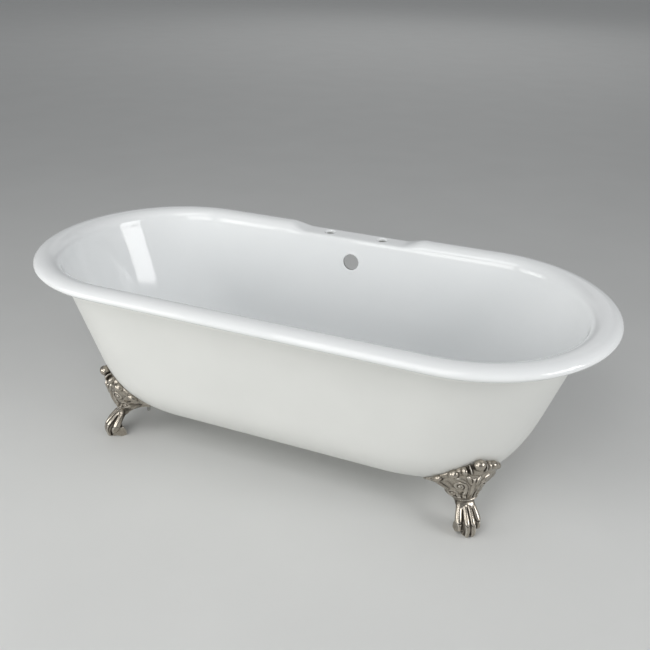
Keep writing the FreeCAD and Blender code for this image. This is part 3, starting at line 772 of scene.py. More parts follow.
def pose_amount(z):
    f = np.clip((98.0 - z) / 38.0, 0.0, 1.0)
    return f * f * (3.0 - 2.0 * f)


def posed(pts):
    """Points (u, v, z, radius) of a straight leg, turned and shifted as the leg stands."""
    out = []
    for u, v, z, r in pts:
        f = float(pose_amount(float(z)))
        a = math.radians(-10.0 * f)
        out.append((5.0 + (u - 5.0) * math.cos(a) - v * math.sin(a) + 3.0 * f,
                    (u - 5.0) * math.sin(a) + v * math.cos(a) - 6.0 * f, z, r))
    return out


def unposed(X, Y, Z):
    """Where grid points would be on the straight leg."""
    f = pose_amount(Z)
    a = np.radians(-10.0 * f)
    c, s = np.cos(a), np.sin(a)
    du, dv = X - 5.0 - 3.0 * f, Y + 6.0 * f
    return (5.0 + du * c + dv * s).astype(np.float32), (dv * c - du * s).astype(np.float32)


def turned(X, Y):
    """Axes of the bell, turned a little from the foot's own."""
    c, s = math.cos(math.radians(8.0)), math.sin(math.radians(8.0))
    return X * c - Y * s, X * s + Y * c


def build_foot_field(h):
    fl = Field((-124.0, -116.0, -3.0), (66.0, 118.0, 242.0), h)

    # ---- leg: sections up the leg (z, centre u, centre v, half u, half v)
    secs = np.array([
        (-4, 2, 0, 19, 21), (0, 2, 0, 19, 21), (10, 4, 0, 19, 23), (20, 6, 0, 18.5, 26.5), (31, 6.5, 0, 18, 29),
        (42, 2, 0, 17.5, 28.5), (50, -3, 0, 16.5, 27.5), (60, -10.5, 0, 15.5, 26.5), (70, -17, 0, 14.5, 26),
        (80, -22.5, 0, 14, 26), (88, -25, 0, 14, 26.5), (96, -28, 1, 19, 32), (104, -33, 2, 27, 41)], float)
    sl, X, Y, Z = fl.block((-66, -50, -4), (36, 48, 104), 6)
    U, V = unposed(X, Y, Z)
    z1 = Z.ravel().astype(float)
    cu, cv, ru, rv = [catmull(secs[:, 0], secs[:, i], z1).astype(np.float32)[None, None, :] for i in (1, 2, 3, 4)]
    q = np.sqrt(((U - cu) / ru) ** 2 + ((V - cv) / rv) ** 2)
    sd = (q - 1.0) * np.minimum(ru, rv)
    sd = np.maximum(sd, np.maximum(-3.0 - Z, Z - 102.0))
    fl.F[sl] = smin(fl.F[sl], sd, 3.0)

    # ---- toes: two narrow ones in the middle and a wide one each side, each ending in a blunt claw
    inner = [(-12.6, 5, 75, 4.0), (-5.4, 5.8, 68, 6.0), (7, 6.6, 57, 7.2), (18, 7.2, 46, 8.0),
             (24, 7.6, 38, 8.2), (29.0, 7.8, 26, 7.8), (29.5, 7.6, 13, 6.4), (26.5, 7.2, 5, 4.8)]
    outer = [(-18.6, 16, 75, 5.0), (-13.5, 18.6, 68, 7.8), (-5, 21.5, 57, 9.2), (3.5, 24, 46, 10.2),
             (9, 25.6, 38, 10.2), (14, 26.2, 31, 8.8), (17.5, 25.6, 25, 6.2)]
    for s in (1, -1):
        fl.tube(posed([(u, s * v, z, r) for u, v, z, r in inner]), 1.8)
        fl.tube(posed([(u, s * v, z, r) for u, v, z, r in outer]), 2.2)
    # grooves between the toes
    fl.tube(posed([(-7, 0, 76, 0.8), (10, 0, 57, 1.6), (23, 0, 45, 2.2), (32.5, 0, 34, 2.9), (36, 0, 22, 3.3),
                    (33, 0, 8, 3.6)]), 0.8, cut=True)
    for s in (1, -1):
        fl.tube(posed([(-14, s * 12.2, 76, 1.0), (6, s * 14, 57, 2.2), (20, s * 15.4, 44, 3.2), (28, s * 16.6, 32, 4.6),
                        (28, s * 18.5, 18, 6.4), (22, s * 19, 6, 7.0)]), 1.0, cut=True)
        # tendon lines down the side of the leg
        fl.tube(posed([(-23, s * 26.0, 84, 1.0), (-16, s * 27.6, 66, 1.4), (-9, s * 30.0, 50, 1.7),
                        (-4, s * 33.5, 34, 1.3)]), 1.4, cut=True)

    # ---- heel block, flat on its inner side
    sl, X, Y, Z = fl.block((-44, -50, -4), (34, 44, 44), 6)
    U, V = unposed(X, Y, Z)
    sd = np.maximum(np.maximum(0.45 * np.maximum(Z - 16.0, 0.0) - 20.0 - U, U - 19.0),
                    np.maximum(np.abs(V) - (30.4 - 0.04 * np.maximum(Z, 0)), Z - 30.5 - 0.27 * (U + 13.0)))
    fl.F[sl] = smin(fl.F[sl], sd + 1.0, 1.4)
    # sole plate
    sl, X, Y, Z = fl.block((-44, -46, -4), (34, 40, 8), 6)
    U, V = unposed(X, Y, Z)
    q = (np.sqrt(((U - 2.0) / 21.0) ** 2 + (V / 24.0) ** 2) - 1.0) * 21.0
    fl.F[sl] = smin(fl.F[sl], smax(q, Z - 4.5, 3.0), 2.0)
    # the claws are flat in front and at the sides, and the toes lift a little off the floor
    sl, X, Y, Z = fl.block((-40, -58, -4), (48, 52, 54))
    U, V = unposed(X, Y, Z)
    zr = Z.ravel()
    uf = np.interp(zr, (0, 12, 26, 38, 41, 52), (30.0, 34.0, 35.0, 31.4, 34.0, 46.0)).astype(np.float32)[None, None, :]
    vf = np.interp(zr, (0, 12, 26, 38, 41, 52), (29.4, 30.0, 30.6, 30.8, 34.6, 46.0)).astype(np.float32)[None, None, :]
    F = smax(fl.F[sl], U - uf, 1.0)
    F = smax(F, np.abs(V) - vf, 1.0)
    F = smax(F, np.minimum(np.abs(V) - 15.0, 0.8 * (U + 2.0) - Z), 1.4)
    fl.F[sl] = smax(F, 0.6 * (U - 27.0) - Z, 1.6)
    # crease where each claw leaves its toe
    for s in (1, -1):
        fl.tube(posed([(26, s * 1.8, 42, 0.9), (33.0, s * 7.6, 38.5, 1.4), (27, s * 13.4, 42, 0.9)]), 0.6, cut=True)
        fl.tube(posed([(14, s * 17.0, 44, 1.0), (18.5, s * 26, 40.0, 1.5), (8, s * 35.4, 41.0, 1.5),
                        (-6, s * 34.0, 40, 1.2)]), 0.6, cut=True)

    # ---- bell: the fan's root, drawn in to a ringed collar on top of the leg
    sl, X, Y, Z = fl.block((-112, -104, 84), (34, 104, 146))
    A, B = turned(X, Y)
    zr = Z.ravel().astype(float)
    zk = (86, 89, 96, 104, 112, 120, 129, 138, 146)
    front = catmull(zk, (-7.5, -6, -4.5, -1.5, 1.5, 4, 5.0, 2.0, -5.0), zr)
    half_b = catmull(zk, (27, 28, 34, 43, 50, 60, 70, 76, 78), zr)
    half_a = catmull(zk, (15.5, 16, 22, 30, 38, 46, 54, 58, 58), zr)
    mid_a = front - half_a
    power = np.interp(zr, (92, 112), (2.0, 1.3))
    ring = 1.9 * np.exp(-((zr - 92.0) / 2.2) ** 2) - 1.5 * np.exp(-((zr - 97.0) / 1.5) ** 2)
    half_a, half_b = half_a + ring, half_b + ring
    mid_a, half_a, half_b, power = [a.astype(np.float32)[None, None, :] for a in (mid_a, half_a, half_b, power)]
    q = ((np.abs(A - mid_a) / half_a) ** power + (np.abs(B) / half_b) ** power) ** (1.0 / power)
    bell = (q - 1.0) * np.minimum(half_a, half_b)
    bell = np.maximum(bell, np.maximum(86.5 - Z, Z - 142.0))
    fl.F[sl] = smin(fl.F[sl], bell, 1.6)
    # its inner side, which runs back under the tub towards the flange
    ca, sa = math.cos(math.radians(8.0)), math.sin(math.radians(8.0))
    fl.blob((-47.0, 2.0, 104.0), ((ca, -sa, 0.0), (sa, ca, 0.0), (0.0, 0.0, 1.0)), (33.0, 47.0, 21.0), 10.0)

    # ---- fan: built on the body's own surface
    lo, hi = (-100.0, -114.0, 92.0), (64.0, 116.0, 240.0)
    sl, X, Y, Z = fl.block(lo, hi)
    st = 5.0
    gu = np.arange(X.min() - 1, X.max() + st, st)
    gv = np.arange(Y.min() - 1, Y.max() + st, st)
    gz = np.arange(Z.min() - 1, Z.max() + st, st)
    GU, GV, GZ = np.meshgrid(gu, gv, gz, indexing="ij")
    wx, wy, wz = foot_to_world(GU.ravel(), GV.ravel(), GZ.ravel())
    t, zp, d = closest_on_body(np.stack([wx, wy, wz], 1))
    shp = GU.shape
    fields = [((t - FAN_T) / FAN_HALF_T).reshape(shp), zp.reshape(shp), d.reshape(shp)]

    def lerp_field(G):
        out = G
        for axis, (g, a) in enumerate(((gu, X), (gv, Y), (gz, Z))):
            f = (a.ravel().astype(float) - g[0]) / st
            i = np.clip(f.astype(int), 0, len(g) - 2)
            w = (f - i)
            shape = [1, 1, 1]
            shape[axis] = len(w)
            w = w.reshape(shape)
            out = np.take(out, i, axis) * (1 - w) + np.take(out, i + 1, axis) * w
        return out.astype(np.float32)

    K, ZP, D = [lerp_field(G) for G in fields]
    # the fan's thickness, drawn flat
    ks = np.arange(-1.15, 1.1501, 0.004)
    zs = np.arange(86.0, 246.5, 0.5)
    KK, ZZ = np.meshgrid(ks, zs, indexing="ij")
    top = fan_top(np.clip(KK, -1, 1))
    f = np.clip((ZZ - 100.0) / np.maximum(top - 100.0, 8.0), 0, 1)
    thick = np.interp(f.ravel(), (0, 0.09, 0.17, 0.26, 0.35, 0.44, 0.57, 0.73, 0.86, 1.0),
                      (6.0, 10.0, 18.0, 28.0, 37.0, 43.0, 46.5, 36.0, 27.0, 17.0)).reshape(f.shape)
    wing = np.clip(1.0 - np.abs(KK), 0, 1) ** (1.25 - 0.5 * np.clip(-KK, 0, 1))
    base = 4.6 + 4.0 * np.clip(-KK, 0, 1)
    T = base + (thick - base) * wing
    # a valley below the beaded edge
    below = (top - ZZ)
    T -= 3.6 * np.exp(-((below - 23.0 * (1 - 0.45 * np.abs(KK))) / 4.2) ** 2) * np.clip(1.15 - np.abs(KK), 0, 1)
    gk, gz2 = np.gradient(T, ks[1] - ks[0], zs[1] - zs[0])
    slope = np.sqrt(1.0 + np.minimum((gk / 108.0) ** 2 + gz2 ** 2, 3.0))
    Tv = sample2(ks, zs, T, K, ZP)
    Sv = sample2(ks, zs, slope, K, ZP)
    front = (D - Tv) / Sv
    topz = fan_top(np.clip(K, -1, 1)).astype(np.float32)
    edge_c = 1.0 / np.sqrt(1.0 + (94.0 * 2.2 * np.abs(np.clip(K, -1, 1)) ** 1.2 / 108.0) ** 2)
    above = (ZP - topz) * edge_c.astype(np.float32)
    lowz = 104.0 + 15.0 * np.clip((np.abs(K) - 0.30) / 0.70, 0, 1) ** 1.25
    under = (lowz - ZP).astype(np.float32)
    ends = (np.abs(K) - 1.0) * 100.0
    fan = smax(front, above, 4.0)
    fan = smax(fan, under, 3.0)
    fan = smax(fan, ends.astype(np.float32), 3.0)
    both = smin(fl.F[sl], fan, 15.0)
    # relief on the bell and the fan, seen from in front
    xs, zo, H = ornament()
    A, B = turned(X, Y)
    relief = sample2(xs, zo, H.astype(np.float32), B + 0 * Z, Z + 0 * B)
    relief *= np.clip((topz - ZP - 13.0) / 8.0, 0, 1) * np.clip((A + 54.0) / 16.0, 0, 1) * np.clip((Z - 98.0) / 4.0, 0, 1)
    fl.F[sl] = both - 0.6 * relief

    def on_fan(k, z, out):
        t = FAN_T + k * FAN_HALF_T
        P = body_surface(np.array([t]), np.array([float(z)]))[0]
        n = body_normal(np.array([t]), np.array([float(z)]))[0]
        p = P + n * out
        u, v, zz = world_to_foot(p[0], p[1], p[2])
        nu, nv = n[0] * CU - n[1] * SU, n[0] * SU + n[1] * CU
        return np.array([u, v, zz]), np.array([nu, nv, n[2]])

    def edge_frame(k, drop, out):
        """Point just below the fan's upper edge, with tangent, outward and across directions."""
        z = float(fan_top(np.array(k))) - drop
        c, n = on_fan(k, z, out)
        e = 0.02
        a, _ = on_fan(k - e, float(fan_top(np.array(k - e))) - drop, out)
        b, _ = on_fan(k + e, float(fan_top(np.array(k + e))) - drop, out)
        tg = b - a
        tg /= np.linalg.norm(tg)
        n = n - tg * (n @ tg)
        n /= np.linalg.norm(n)
        return c, (tg, n, np.cross(n, tg))

    # beaded edge: ball, thin ring, bead, two long lobes, on both sides
    for s in (1, -1):
        for k, half, rn, rb, drop, out in (
                (0.155, 3.6, 14.0, 14.2, 4.5, 12.0), (0.255, 9.6, 12.6, 12.0, 5.6, 11.2),
                (0.445, 14.6, 11.8, 11.0, 5.6, 10.0), (0.695, 15.6, 10.0, 9.2, 4.8, 7.8)):
            c, axes = edge_frame(BALL_K + s * k, drop, out)
            fl.blob(c, axes, (half, rn, rb), 0.9)
        c, axes = edge_frame(s * 0.91, 3.2, 3.0)
        fl.blob(c, axes, (15.0, 3.8, 3.8), 2.4)
    c, axes = edge_frame(BALL_K, -5.5, 12.5)
    fl.blob(c, axes, (16.5, 14.0, 14.6), 1.0)

    # ---- flange under the tub: an arched tab with a channel round the stud
    sl, X, Y, Z = fl.block((-124, -30, 56), (-24, 30, 96), 3)
    su = -STUD_IN
    head = np.sqrt((X - su) ** 2 + Y ** 2) - 21.0
    w = 21.0 + 2.5 * np.clip((X - su) / 53.0, 0, 1)
    bar = np.maximum(np.maximum(su - X, X + 28.0), np.abs(Y) - w)
    plan = smin(head, bar, 2.0)
    arch = np.interp(X.ravel(), (-97, -85, -62, -48, -38, -30), (78, 82, 84, 81, 76, 70)).astype(np.float32)[:, None, None]
    tab = smax(plan, np.maximum(Z - BOSS_LOW, arch - Z), 1.6)
    hollow_head = np.sqrt((X - su) ** 2 + Y ** 2) - 16.0
    hollow_bar = np.maximum(np.maximum(su - X, X - su - 14.0), np.abs(Y) - 16.0)
    hollow = np.maximum(smin(hollow_head, hollow_bar, 2.0), Z - (BOSS_LOW - 6.0))
    tab = smax(tab, -hollow, 1.2)
    fl.F[sl] = smin(fl.F[sl], tab, 6.0)
    # hollow again, where the leg's root fills it
    fl.F[sl] = smax(fl.F[sl], -hollow, 1.2)
    # stud hole
    sl, X, Y, Z = fl.block((-104, -7, 60), (-90, 7, 110), 3)
    fl.F[sl] = np.maximum(fl.F[sl], 5.4 - np.sqrt((X - su) ** 2 + Y ** 2))

    # ---- the tub's own space stays clear, and the sole is flat on the floor
    sl, X, Y, Z = fl.block(lo, hi)
    fl.F[sl] = smax(fl.F[sl], 0.6 - D, 1.0)
    sl, X, Y, Z = fl.block((-124, -116, BOSS_LOW - 1), (-60, 118, 130))
    near = np.sqrt((X - su) ** 2 + Y ** 2) - 26.0
    fl.F[sl] = np.maximum(fl.F[sl], np.minimum(Z - BOSS_LOW, -near))
    sl, X, Y, Z = fl.block((-124, -116, -4), (66, 118, 6))
    fl.F[sl] = smax(fl.F[sl], (0.02 - Z) + 0 * X, 1.2)
    return fl


def surface_nets(F, lo, h):
    """Quads on the zero level of a field, points placed on the level."""
    n0, n1, n2 = F.shape
    inside = F < 0
    # cells whose corners differ
    c = [inside[i:n0 - 1 + i, j:n1 - 1 + j, k:n2 - 1 + k] for i in (0, 1) for j in (0, 1) for k in (0, 1)]
    anyin = np.zeros(c[0].shape, bool)
    allin = np.ones(c[0].shape, bool)
    for q in c:
        anyin |= q
        allin &= q
    active = anyin & ~allin
    idx = np.full(active.shape, -1, np.int64)
    cells = np.argwhere(active)
    idx[active] = np.arange(len(cells))
    acc = np.zeros((len(cells), 3))
    cnt = np.zeros(len(cells))
    off = np.array([(i, j, k) for i in (0, 1) for j in (0, 1) for k in (0, 1)])
    vals = np.stack([F[cells[:, 0] + o[0], cells[:, 1] + o[1], cells[:, 2] + o[2]] for o in off], 1).astype(float)
    for a in range(8):
        for b in range(a + 1, 8):
            if np.abs(off[a] - off[b]).sum() != 1:
                continue
            fa, fb = vals[:, a], vals[:, b]
            cross = (fa < 0) != (fb < 0)
            t = np.where(cross, fa / np.where(cross, fa - fb, 1.0), 0.0)
            p = off[a] + (off[b] - off[a]) * t[:, None]
            acc += np.where(cross[:, None], p, 0.0)
            cnt += cross
    pts = cells + acc / cnt[:, None]
    quads = []
    for ax in range(3):
        sl0 = [slice(None)] * 3
        sl1 = [slice(None)] * 3
        sl0[ax], sl1[ax] = slice(0, -1), slice(1, None)
        a, b = inside[tuple(sl0)], inside[tuple(sl1)]
        e = np.argwhere(a != b)
        o1, o2 = [x for x in range(3) if x != ax]
        ok = (e[:, o1] > 0) & (e[:, o2] > 0) & (e[:, o1] < F.shape[o1] - 1) & (e[:, o2] < F.shape[o2] - 1)
        e = e[ok]
        s = a[e[:, 0], e[:, 1], e[:, 2]]
        d1, d2 = np.zeros(3, int), np.zeros(3, int)
        d1[o1], d2[o2] = 1, 1
        q = [idx[tuple((e - x).T)] for x in (0 * d1, d1, d1 + d2, d2)]
        q = np.stack(q, 1)
        odd = ax == 1
        turn = (~s) if odd else s
        # winding: normals point from inside to outside
        q = np.where(turn[:, None], q, q[:, ::-1])
        quads.append(q)
    quads = np.vstack(quads)
    return pts, quads



def sample3(F, lo, h, P):
    f = (P - lo) / h
    out = 0.0
    i = np.clip(np.floor(f).astype(int), 0, np.array(F.shape) - 2)
    w = f - i
    for a in (0, 1):
        for b in (0, 1):
            for c in (0, 1):
                k = ((w[:, 0] if a else 1 - w[:, 0]) * (w[:, 1] if b else 1 - w[:, 1])
                     * (w[:, 2] if c else 1 - w[:, 2]))
                out = out + k * F[i[:, 0] + a, i[:, 1] + b, i[:, 2] + c]
    return out


def gradient3(F, lo, h, P, e=0.5):
    g = np.zeros_like(P)
    for a in range(3):
        d = np.zeros(3)
        d[a] = e * h
        g[:, a] = (sample3(F, lo, h, P + d) - sample3(F, lo, h, P - d)) / (2 * e * h)
    return g


def sculpt_foot(h):
    """Points in the world, faces, a painted shade value for the crevices and a painted highlight value for the ridges
    of the front right foot.
    """
    fl = build_foot_field(h)
    lo = fl.lo
    pts, quads = surface_nets(fl.F, lo, h)
    P = pts * h + lo
    # loose crumbs go: keep the largest connected body
    n = len(P)
    parent = np.arange(n)
    e = np.vstack([quads[:, [0, 1]], quads[:, [1, 2]], quads[:, [2, 3]], quads[:, [3, 0]]])
    for _ in range(400):
        m = np.minimum(parent[e[:, 0]], parent[e[:, 1]])
        new = parent.copy()
        np.minimum.at(new, e[:, 0], m)
        np.minimum.at(new, e[:, 1], m)
        new = new[new]
        if (new == parent).all():
            break
        parent = new
    labels, counts = np.unique(parent, return_counts=True)
    keep = parent == labels[counts.argmax()]
    remap = np.cumsum(keep) - 1
    quads = remap[quads[keep[quads[:, 0]]]]
    P = P[keep]
    for _ in range(3):
        f = sample3(fl.F, lo, h, P)
        g = gradient3(fl.F, lo, h, P)
        P = P - g * np.clip(f / np.maximum((g * g).sum(1), 0.05), -0.5 * h, 0.5 * h)[:, None]
    n = len(P)
    e = np.vstack([quads[:, [0, 1]], quads[:, [1, 2]], quads[:, [2, 3]], quads[:, [3, 0]]])
    deg = np.bincount(np.r_[e[:, 0], e[:, 1]], minlength=n).astype(float)

    def mean_of(x):
        out = np.zeros_like(x)
        for c in range(x.shape[1]):
            out[:, c] = (np.bincount(e[:, 0], x[e[:, 1], c], n) + np.bincount(e[:, 1], x[e[:, 0], c], n)) / deg
        return out

    flat = P[:, 2] < 0.2
    for k in range(10):
        L = mean_of(P) - P
        L[flat, 2] = 0.0
        P = P + L * (0.5 if k % 2 == 0 else -0.52)
    P[:, 2] = np.maximum(P[:, 2], 0.0)
    g = gradient3(fl.F, lo, h, P, 1.0)
    N = g / np.maximum(np.linalg.norm(g, axis=1), 1e-6)[:, None]
    # painted shade in crevices: darker where there is little open space in front of the surface, or hollow curvature
    open_ = np.ones(n)
    for dist, wt in ((3.0, 0.5), (6.0, 0.3), (11.0, 0.2)):
        v = sample3(fl.F, lo, h, P + N * dist) / dist
        open_ -= wt * np.clip(1.0 - v, 0, 1)
    curv = -6.0 * sample3(fl.F, lo, h, P)
    for a in range(3):
        d = np.zeros(3)
        d[a] = 2.4
        curv = curv + sample3(fl.F, lo, h, P + d) + sample3(fl.F, lo, h, P - d)
    curv = curv / 2.4 ** 2
    painted_shade_value = np.clip((1.0 - open_) * 1.3 + np.clip(-curv * 1.1, 0, 0.7), 0, 1)[:, None]
    for _ in range(2):
        painted_shade_value = mean_of(painted_shade_value)
    # painted highlight: convex ridges get a value that lightens the base colour
    edge = mean_of(np.clip((curv - 0.12) * 2.6, 0, 1)[:, None])[:, 0]
    x, y, z = foot_to_world(P[:, 0], P[:, 1], P[:, 2])
    return np.stack([x, y, z], 1), quads, painted_shade_value[:, 0], edge


# =====================================================================
# Materials
# =====================================================================
def new_material(name):
    m = bpy.data.materials.new(name)
    m.use_nodes = True
    nt = m.node_tree
    nt.nodes.clear()
    out = nt.nodes.new("ShaderNodeOutputMaterial")
    b = nt.nodes.new("ShaderNodeBsdfPrincipled")
    nt.links.new(b.outputs[0], out.inputs[0])
    return m, nt, b


def node(nt, kind, **kw):
    n = nt.nodes.new(kind)
    for k, v in kw.items():
        if isinstance(k, str) and hasattr(n, k):
            setattr(n, k, v)
    return n


def coords(nt, scale=(1, 1, 1)):
    tc = nt.nodes.new("ShaderNodeTexCoord")
    mp = nt.nodes.new("ShaderNodeMapping")
    mp.inputs["Scale"].default_value = scale
    nt.links.new(tc.outputs["Object"], mp.inputs["Vector"])
    return mp.outputs[0]


def noise(nt, vec, scale, detail=3.0, rough=0.5):
    n = nt.nodes.new("ShaderNodeTexNoise")
    n.inputs["Scale"].default_value = scale
    n.inputs["Detail"].default_value = detail
    n.inputs["Roughness"].default_value = rough
    nt.links.new(vec, n.inputs["Vector"])
    return n.outputs["Fac"]


def ramp(nt, fac, stops):
    r = nt.nodes.new("ShaderNodeValToRGB")
    el = r.color_ramp.elements
    while len(el) < len(stops):
        el.new(0.5)
    for e, (p, c) in zip(el, stops):
        e.position = p
        e.color = c if len(c) == 4 else (*c, 1.0)
    nt.links.new(fac, r.inputs["Fac"])
    return r.outputs["Color"]


def map_range(nt, fac, a, b, c, d):
    r = nt.nodes.new("ShaderNodeMapRange")
    r.inputs["From Min"].default_value, r.inputs["From Max"].default_value = a, b
    r.inputs["To Min"].default_value, r.inputs["To Max"].default_value = c, d
    nt.links.new(fac, r.inputs["Value"])
    return r.outputs["Result"]


def bump(nt, height, strength, distance, normal=None):
    b = nt.nodes.new("ShaderNodeBump")
    b.inputs["Strength"].default_value = strength
    b.inputs["Distance"].default_value = distance
    nt.links.new(height, b.inputs["Height"])
    if normal is not None:
        nt.links.new(normal, b.inputs["Normal"])
    return b.outputs["Normal"]


def enamel_material():
    m, nt, b = new_material("porcelain_enamel")
    v = coords(nt)
    n1 = noise(nt, v, 5.0, 3.0)
    nt.links.new(ramp(nt, n1, [(0.30, (0.888, 0.905, 0.910)), (0.70, (0.904, 0.919, 0.922))]), b.inputs["Base Color"])
    n2 = noise(nt, v, 26.0, 3.0)
    nt.links.new(map_range(nt, n2, 0.3, 0.7, 0.055, 0.095), b.inputs["Roughness"])
    n3 = noise(nt, v, 52.0, 1.0)
    n4 = noise(nt, v, 17.0, 1.0)
    nrm = bump(nt, n4, 1.0, 0.00035)
    nrm = bump(nt, n3, 1.0, 0.00009, nrm)
    nt.links.new(nrm, b.inputs["Normal"])
    b.inputs["Specular IOR Level"].default_value = 0.5
    b.inputs["IOR"].default_value = 1.52
    return m


def paint_material():
    m, nt, b = new_material("satin_paint_on_cast_iron")
    v = coords(nt)
    n1 = noise(nt, v, 3.2, 4.0)
    nt.links.new(ramp(nt, n1, [(0.30, (0.742, 0.748, 0.722)), (0.72, (0.778, 0.782, 0.756))]), b.inputs["Base Color"])
    n2 = noise(nt, v, 40.0, 4.0)
    nt.links.new(map_range(nt, n2, 0.3, 0.7, 0.30, 0.40), b.inputs["Roughness"])
    n3 = noise(nt, v, 340.0, 3.0)
    n4 = noise(nt, v, 22.0, 2.0)
    nrm = bump(nt, n4, 1.0, 0.0005)
    nrm = bump(nt, n3, 0.55, 0.00008, nrm)
    nt.links.new(nrm, b.inputs["Normal"])
    b.inputs["Specular IOR Level"].default_value = 0.5
    b.inputs["IOR"].default_value = 1.5
    return m


def iron_material():
    m, nt, b = new_material("bare_iron_in_holes")
    v = coords(nt)
    n1 = noise(nt, v, 240.0, 5.0)
    nt.links.new(ramp(nt, n1, [(0.3, (0.05, 0.046, 0.043)), (0.7, (0.11, 0.10, 0.094))]), b.inputs["Base Color"])
    nt.links.new(map_range(nt, n1, 0.3, 0.7, 0.5, 0.75), b.inputs["Roughness"])
    nt.links.new(bump(nt, n1, 0.6, 0.0003), b.inputs["Normal"])
    b.inputs["Metallic"].default_value = 0.6
    return m


def nickel_material():
    m, nt, b = new_material("brushed_nickel_on_cast_iron")
    at = nt.nodes.new("ShaderNodeAttribute")
    at.attribute_name = "painted_crevice_shade"
    painted_highlight_attr = nt.nodes.new("ShaderNodeAttribute")
    painted_highlight_attr.attribute_name = "edge"
    v = coords(nt)
    n1 = noise(nt, v, 28.0, 4.0)
    base = ramp(nt, n1, [(0.3, (0.400, 0.360, 0.305)), (0.7, (0.490, 0.447, 0.385))])
    # painted shade: the base colour is mixed towards near-black where the shade value for crevices is high
    painted_shade_mix = nt.nodes.new("ShaderNodeMix")
    painted_shade_mix.data_type = "RGBA"
    fac = map_range(nt, at.outputs["Fac"], 0.10, 0.70, 0.0, 0.94)
    nt.links.new(fac, painted_shade_mix.inputs[0])
    nt.links.new(base, painted_shade_mix.inputs[6])
    painted_shade_mix.inputs[7].default_value = (0.060, 0.050, 0.040, 1.0)
    # painted highlight: the base colour is mixed towards a light warm grey on convex ridges
    painted_highlight_mix = nt.nodes.new("ShaderNodeMix")
    painted_highlight_mix.data_type = "RGBA"
    nt.links.new(map_range(nt, painted_highlight_attr.outputs["Fac"], 0.12, 0.9, 0.0, 0.8), painted_highlight_mix.inputs[0])
    nt.links.new(painted_shade_mix.outputs[2], painted_highlight_mix.inputs[6])
    painted_highlight_mix.inputs[7].default_value = (0.78, 0.74, 0.67, 1.0)
    nt.links.new(painted_highlight_mix.outputs[2], b.inputs["Base Color"])
    b.inputs["Metallic"].default_value = 1.0
    fine = noise(nt, coords(nt, (900.0, 900.0, 110.0)), 1.0, 2.0)
    ro = nt.nodes.new("ShaderNodeMath")
    ro.operation = "ADD"
    nt.links.new(map_range(nt, fine, 0.3, 0.7, 0.20, 0.30), ro.inputs[0])
    nt.links.new(map_range(nt, at.outputs["Fac"], 0.1, 0.8, 0.0, 0.28), ro.inputs[1])
    nt.links.new(ro.outputs[0], b.inputs["Roughness"])
    grain = noise(nt, v, 420.0, 4.0)
    nrm = bump(nt, fine, 0.30, 0.00004)
    nrm = bump(nt, grain, 0.30, 0.00005, nrm)
    nt.links.new(nrm, b.inputs["Normal"])
    return m


def steel_material():
    m, nt, b = new_material("zinc_plated_steel")
    v = coords(nt)
    n1 = noise(nt, v, 320.0, 4.0)
    nt.links.new(ramp(nt, n1, [(0.3, (0.42, 0.41, 0.39)), (0.7, (0.60, 0.59, 0.57))]), b.inputs["Base Color"])
    nt.links.new(map_range(nt, n1, 0.3, 0.7, 0.28, 0.46), b.inputs["Roughness"])
    nt.links.new(bump(nt, n1, 0.4, 0.0001), b.inputs["Normal"])
    b.inputs["Metallic"].default_value = 1.0
    return m


def floor_material():
    m, nt, b = new_material("studio_floor")
    v = coords(nt)
    n1 = noise(nt, v, 2.5, 4.0)
    nt.links.new(ramp(nt, n1, [(0.3, (0.685, 0.69, 0.68)), (0.7, (0.705, 0.71, 0.70))]), b.inputs["Base Color"])
    b.inputs["Roughness"].default_value = 0.55
    b.inputs["Specular IOR Level"].default_value = 0.3
    return m


# =====================================================================
# Scene
# =====================================================================
scene = bpy.context.scene


def link(name, me):
    o = bpy.data.objects.new(name, me)
    scene.collection.objects.link(o)
    return o


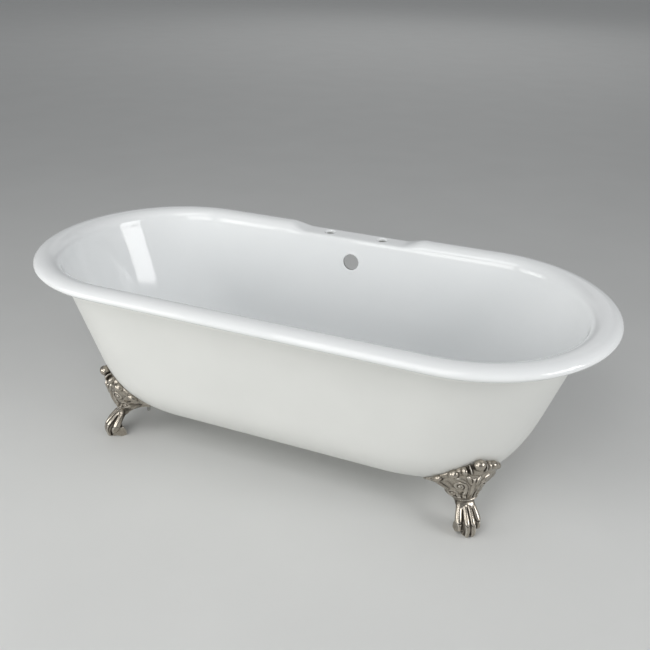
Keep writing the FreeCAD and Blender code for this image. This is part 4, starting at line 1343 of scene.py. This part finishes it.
def main():
    enamel, paint, iron = enamel_material(), paint_material(), iron_material()
    nickel, steel = nickel_material(), steel_material()

    me = build_tub()
    for m in (enamel, paint, iron):
        me.materials.append(m)
    tub = link("bathtub_casting", me)
    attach(tub, "root")
    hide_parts("tub_shell")

    P, quads, painted_shade_value, edge = sculpt_foot(1.3)
    for where in ("front_left", "front_right", "rear_left", "rear_right"):
        sx = -1.0 if "left" in where else 1.0
        sy = -1.0 if "rear" in where else 1.0
        q = quads if sx * sy > 0 else quads[:, ::-1]
        name = "claw_foot_" + where
        me = bpy.data.meshes.new(name)
        me.vertices.add(len(P))
        me.vertices.foreach_set("co", (P * (sx, sy, 1.0) * 0.001).astype(np.float32).ravel())
        me.loops.add(q.size)
        me.loops.foreach_set("vertex_index", q.astype(np.int32).ravel())
        me.polygons.add(len(q))
        me.polygons.foreach_set("loop_start", np.arange(0, q.size, 4, dtype=np.int32))
        me.update(calc_edges=True)
        me.validate()
        me.polygons.foreach_set("use_smooth", np.ones(len(me.polygons), bool))
        # painted shade for crevices and painted highlight for ridges, stored on the points for the nickel material
        for key, val in (("painted_crevice_shade", painted_shade_value), ("edge", edge)):
            a = me.attributes.new(key, "FLOAT", "POINT")
            a.data.foreach_set("value", val.astype(np.float32))
        me.materials.append(nickel)
        o = link(name, me)
        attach(o, "root")
        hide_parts("foot_" + where)
    for name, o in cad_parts.items():
        if name.startswith(("foot_stud", "foot_washer", "foot_nut")):
            o.data.materials.clear()
            o.data.materials.append(steel)

    # floor
    r = 60.0
    fm = bpy.data.meshes.new("studio_floor")
    n = 40
    bm_pts, faces = [], []
    for i in range(n + 1):
        for j in range(n + 1):
            bm_pts.append((-r + 2 * r * i / n, -r + 2 * r * j / n, 0.0))
    for i in range(n):
        for j in range(n):
            a = i * (n + 1) + j
            faces.append((a, a + n + 1, a + n + 2, a + 1))
    fm.from_pydata(bm_pts, [], faces)
    fm.materials.append(floor_material())
    floor = link("studio_floor", fm)

    # camera at the photograph's viewing angle
    right = Vector((0.9304407, 0.3654246, 0.0272956))
    down = Vector((0.1877338, -0.4113838, -0.8919189))
    fwd = Vector((-0.3147001, 0.8350019, -0.4513708))
    cam = bpy.data.cameras.new("camera")
    cam.sensor_width = 36.0
    cam.sensor_fit = "HORIZONTAL"
    cam.lens = 737.80 / 650.0 * 36.0
    cam.shift_x, cam.shift_y = -0.0518, -0.0025
    cam.clip_end = 100.0
    co = bpy.data.objects.new("camera", cam)
    rot = Matrix((right, -down, -fwd)).transposed()
    co.matrix_world = Matrix.Translation((0.799317, -1.725696, 1.353492)) @ rot.to_4x4()
    scene.collection.objects.link(co)
    scene.camera = co

    # soft studio light
    def area(name, loc, aim, sx, sy, power, color=(1, 1, 1)):
        l = bpy.data.lights.new(name, "AREA")
        l.shape = "RECTANGLE"
        l.size, l.size_y = sx, sy
        l.energy = power
        l.color = color
        o = bpy.data.objects.new(name, l)
        o.location = loc
        d = Vector(aim) - Vector(loc)
        o.rotation_euler = d.to_track_quat("-Z", "Y").to_euler()
        o.visible_camera = False
        scene.collection.objects.link(o)
        return o

    area("front_softbox", (-0.4, -3.6, 1.5), (0.0, 0.0, 0.4), 2.0, 1.4, 29.0, (1.0, 0.995, 0.975))
    area("front_left_softbox", (-2.6, -2.6, 1.3), (0.0, 0.0, 0.4), 1.8, 1.4, 24.0, (1.0, 0.995, 0.975))
    area("right_softbox", (3.4, -0.4, 1.6), (0.0, 0.0, 0.4), 1.6, 1.4, 42.0)
    area("high_front_softbox", (-0.2, -2.2, 3.0), (0.0, 0.0, 0.4), 2.2, 1.4, 29.0)
    area("left_softbox", (-1.9, -1.5, 0.9), (0.0, 0.0, 0.4), 1.0, 0.8, 4.0, (1.0, 0.995, 0.975))
    area("far_floor_softbox", (-3.0, 11.0, 5.0), (-3.0, 11.01, 0.0), 9.0, 9.0, 90.0)
    w = bpy.data.worlds.new("studio")
    w.use_nodes = True
    bg = w.node_tree.nodes.get("Background") or w.node_tree.nodes.new("ShaderNodeBackground")
    bg.inputs[0].default_value = (0.98, 1.0, 1.02, 1.0)
    bg.inputs[1].default_value = 0.28
    scene.world = w
    scene.view_settings.view_transform = "Standard"
    scene.view_settings.look = "None"
    scene.view_settings.exposure = 0.0
    scene.view_settings.gamma = 1.0


main()
bpy.context.view_layer.update()
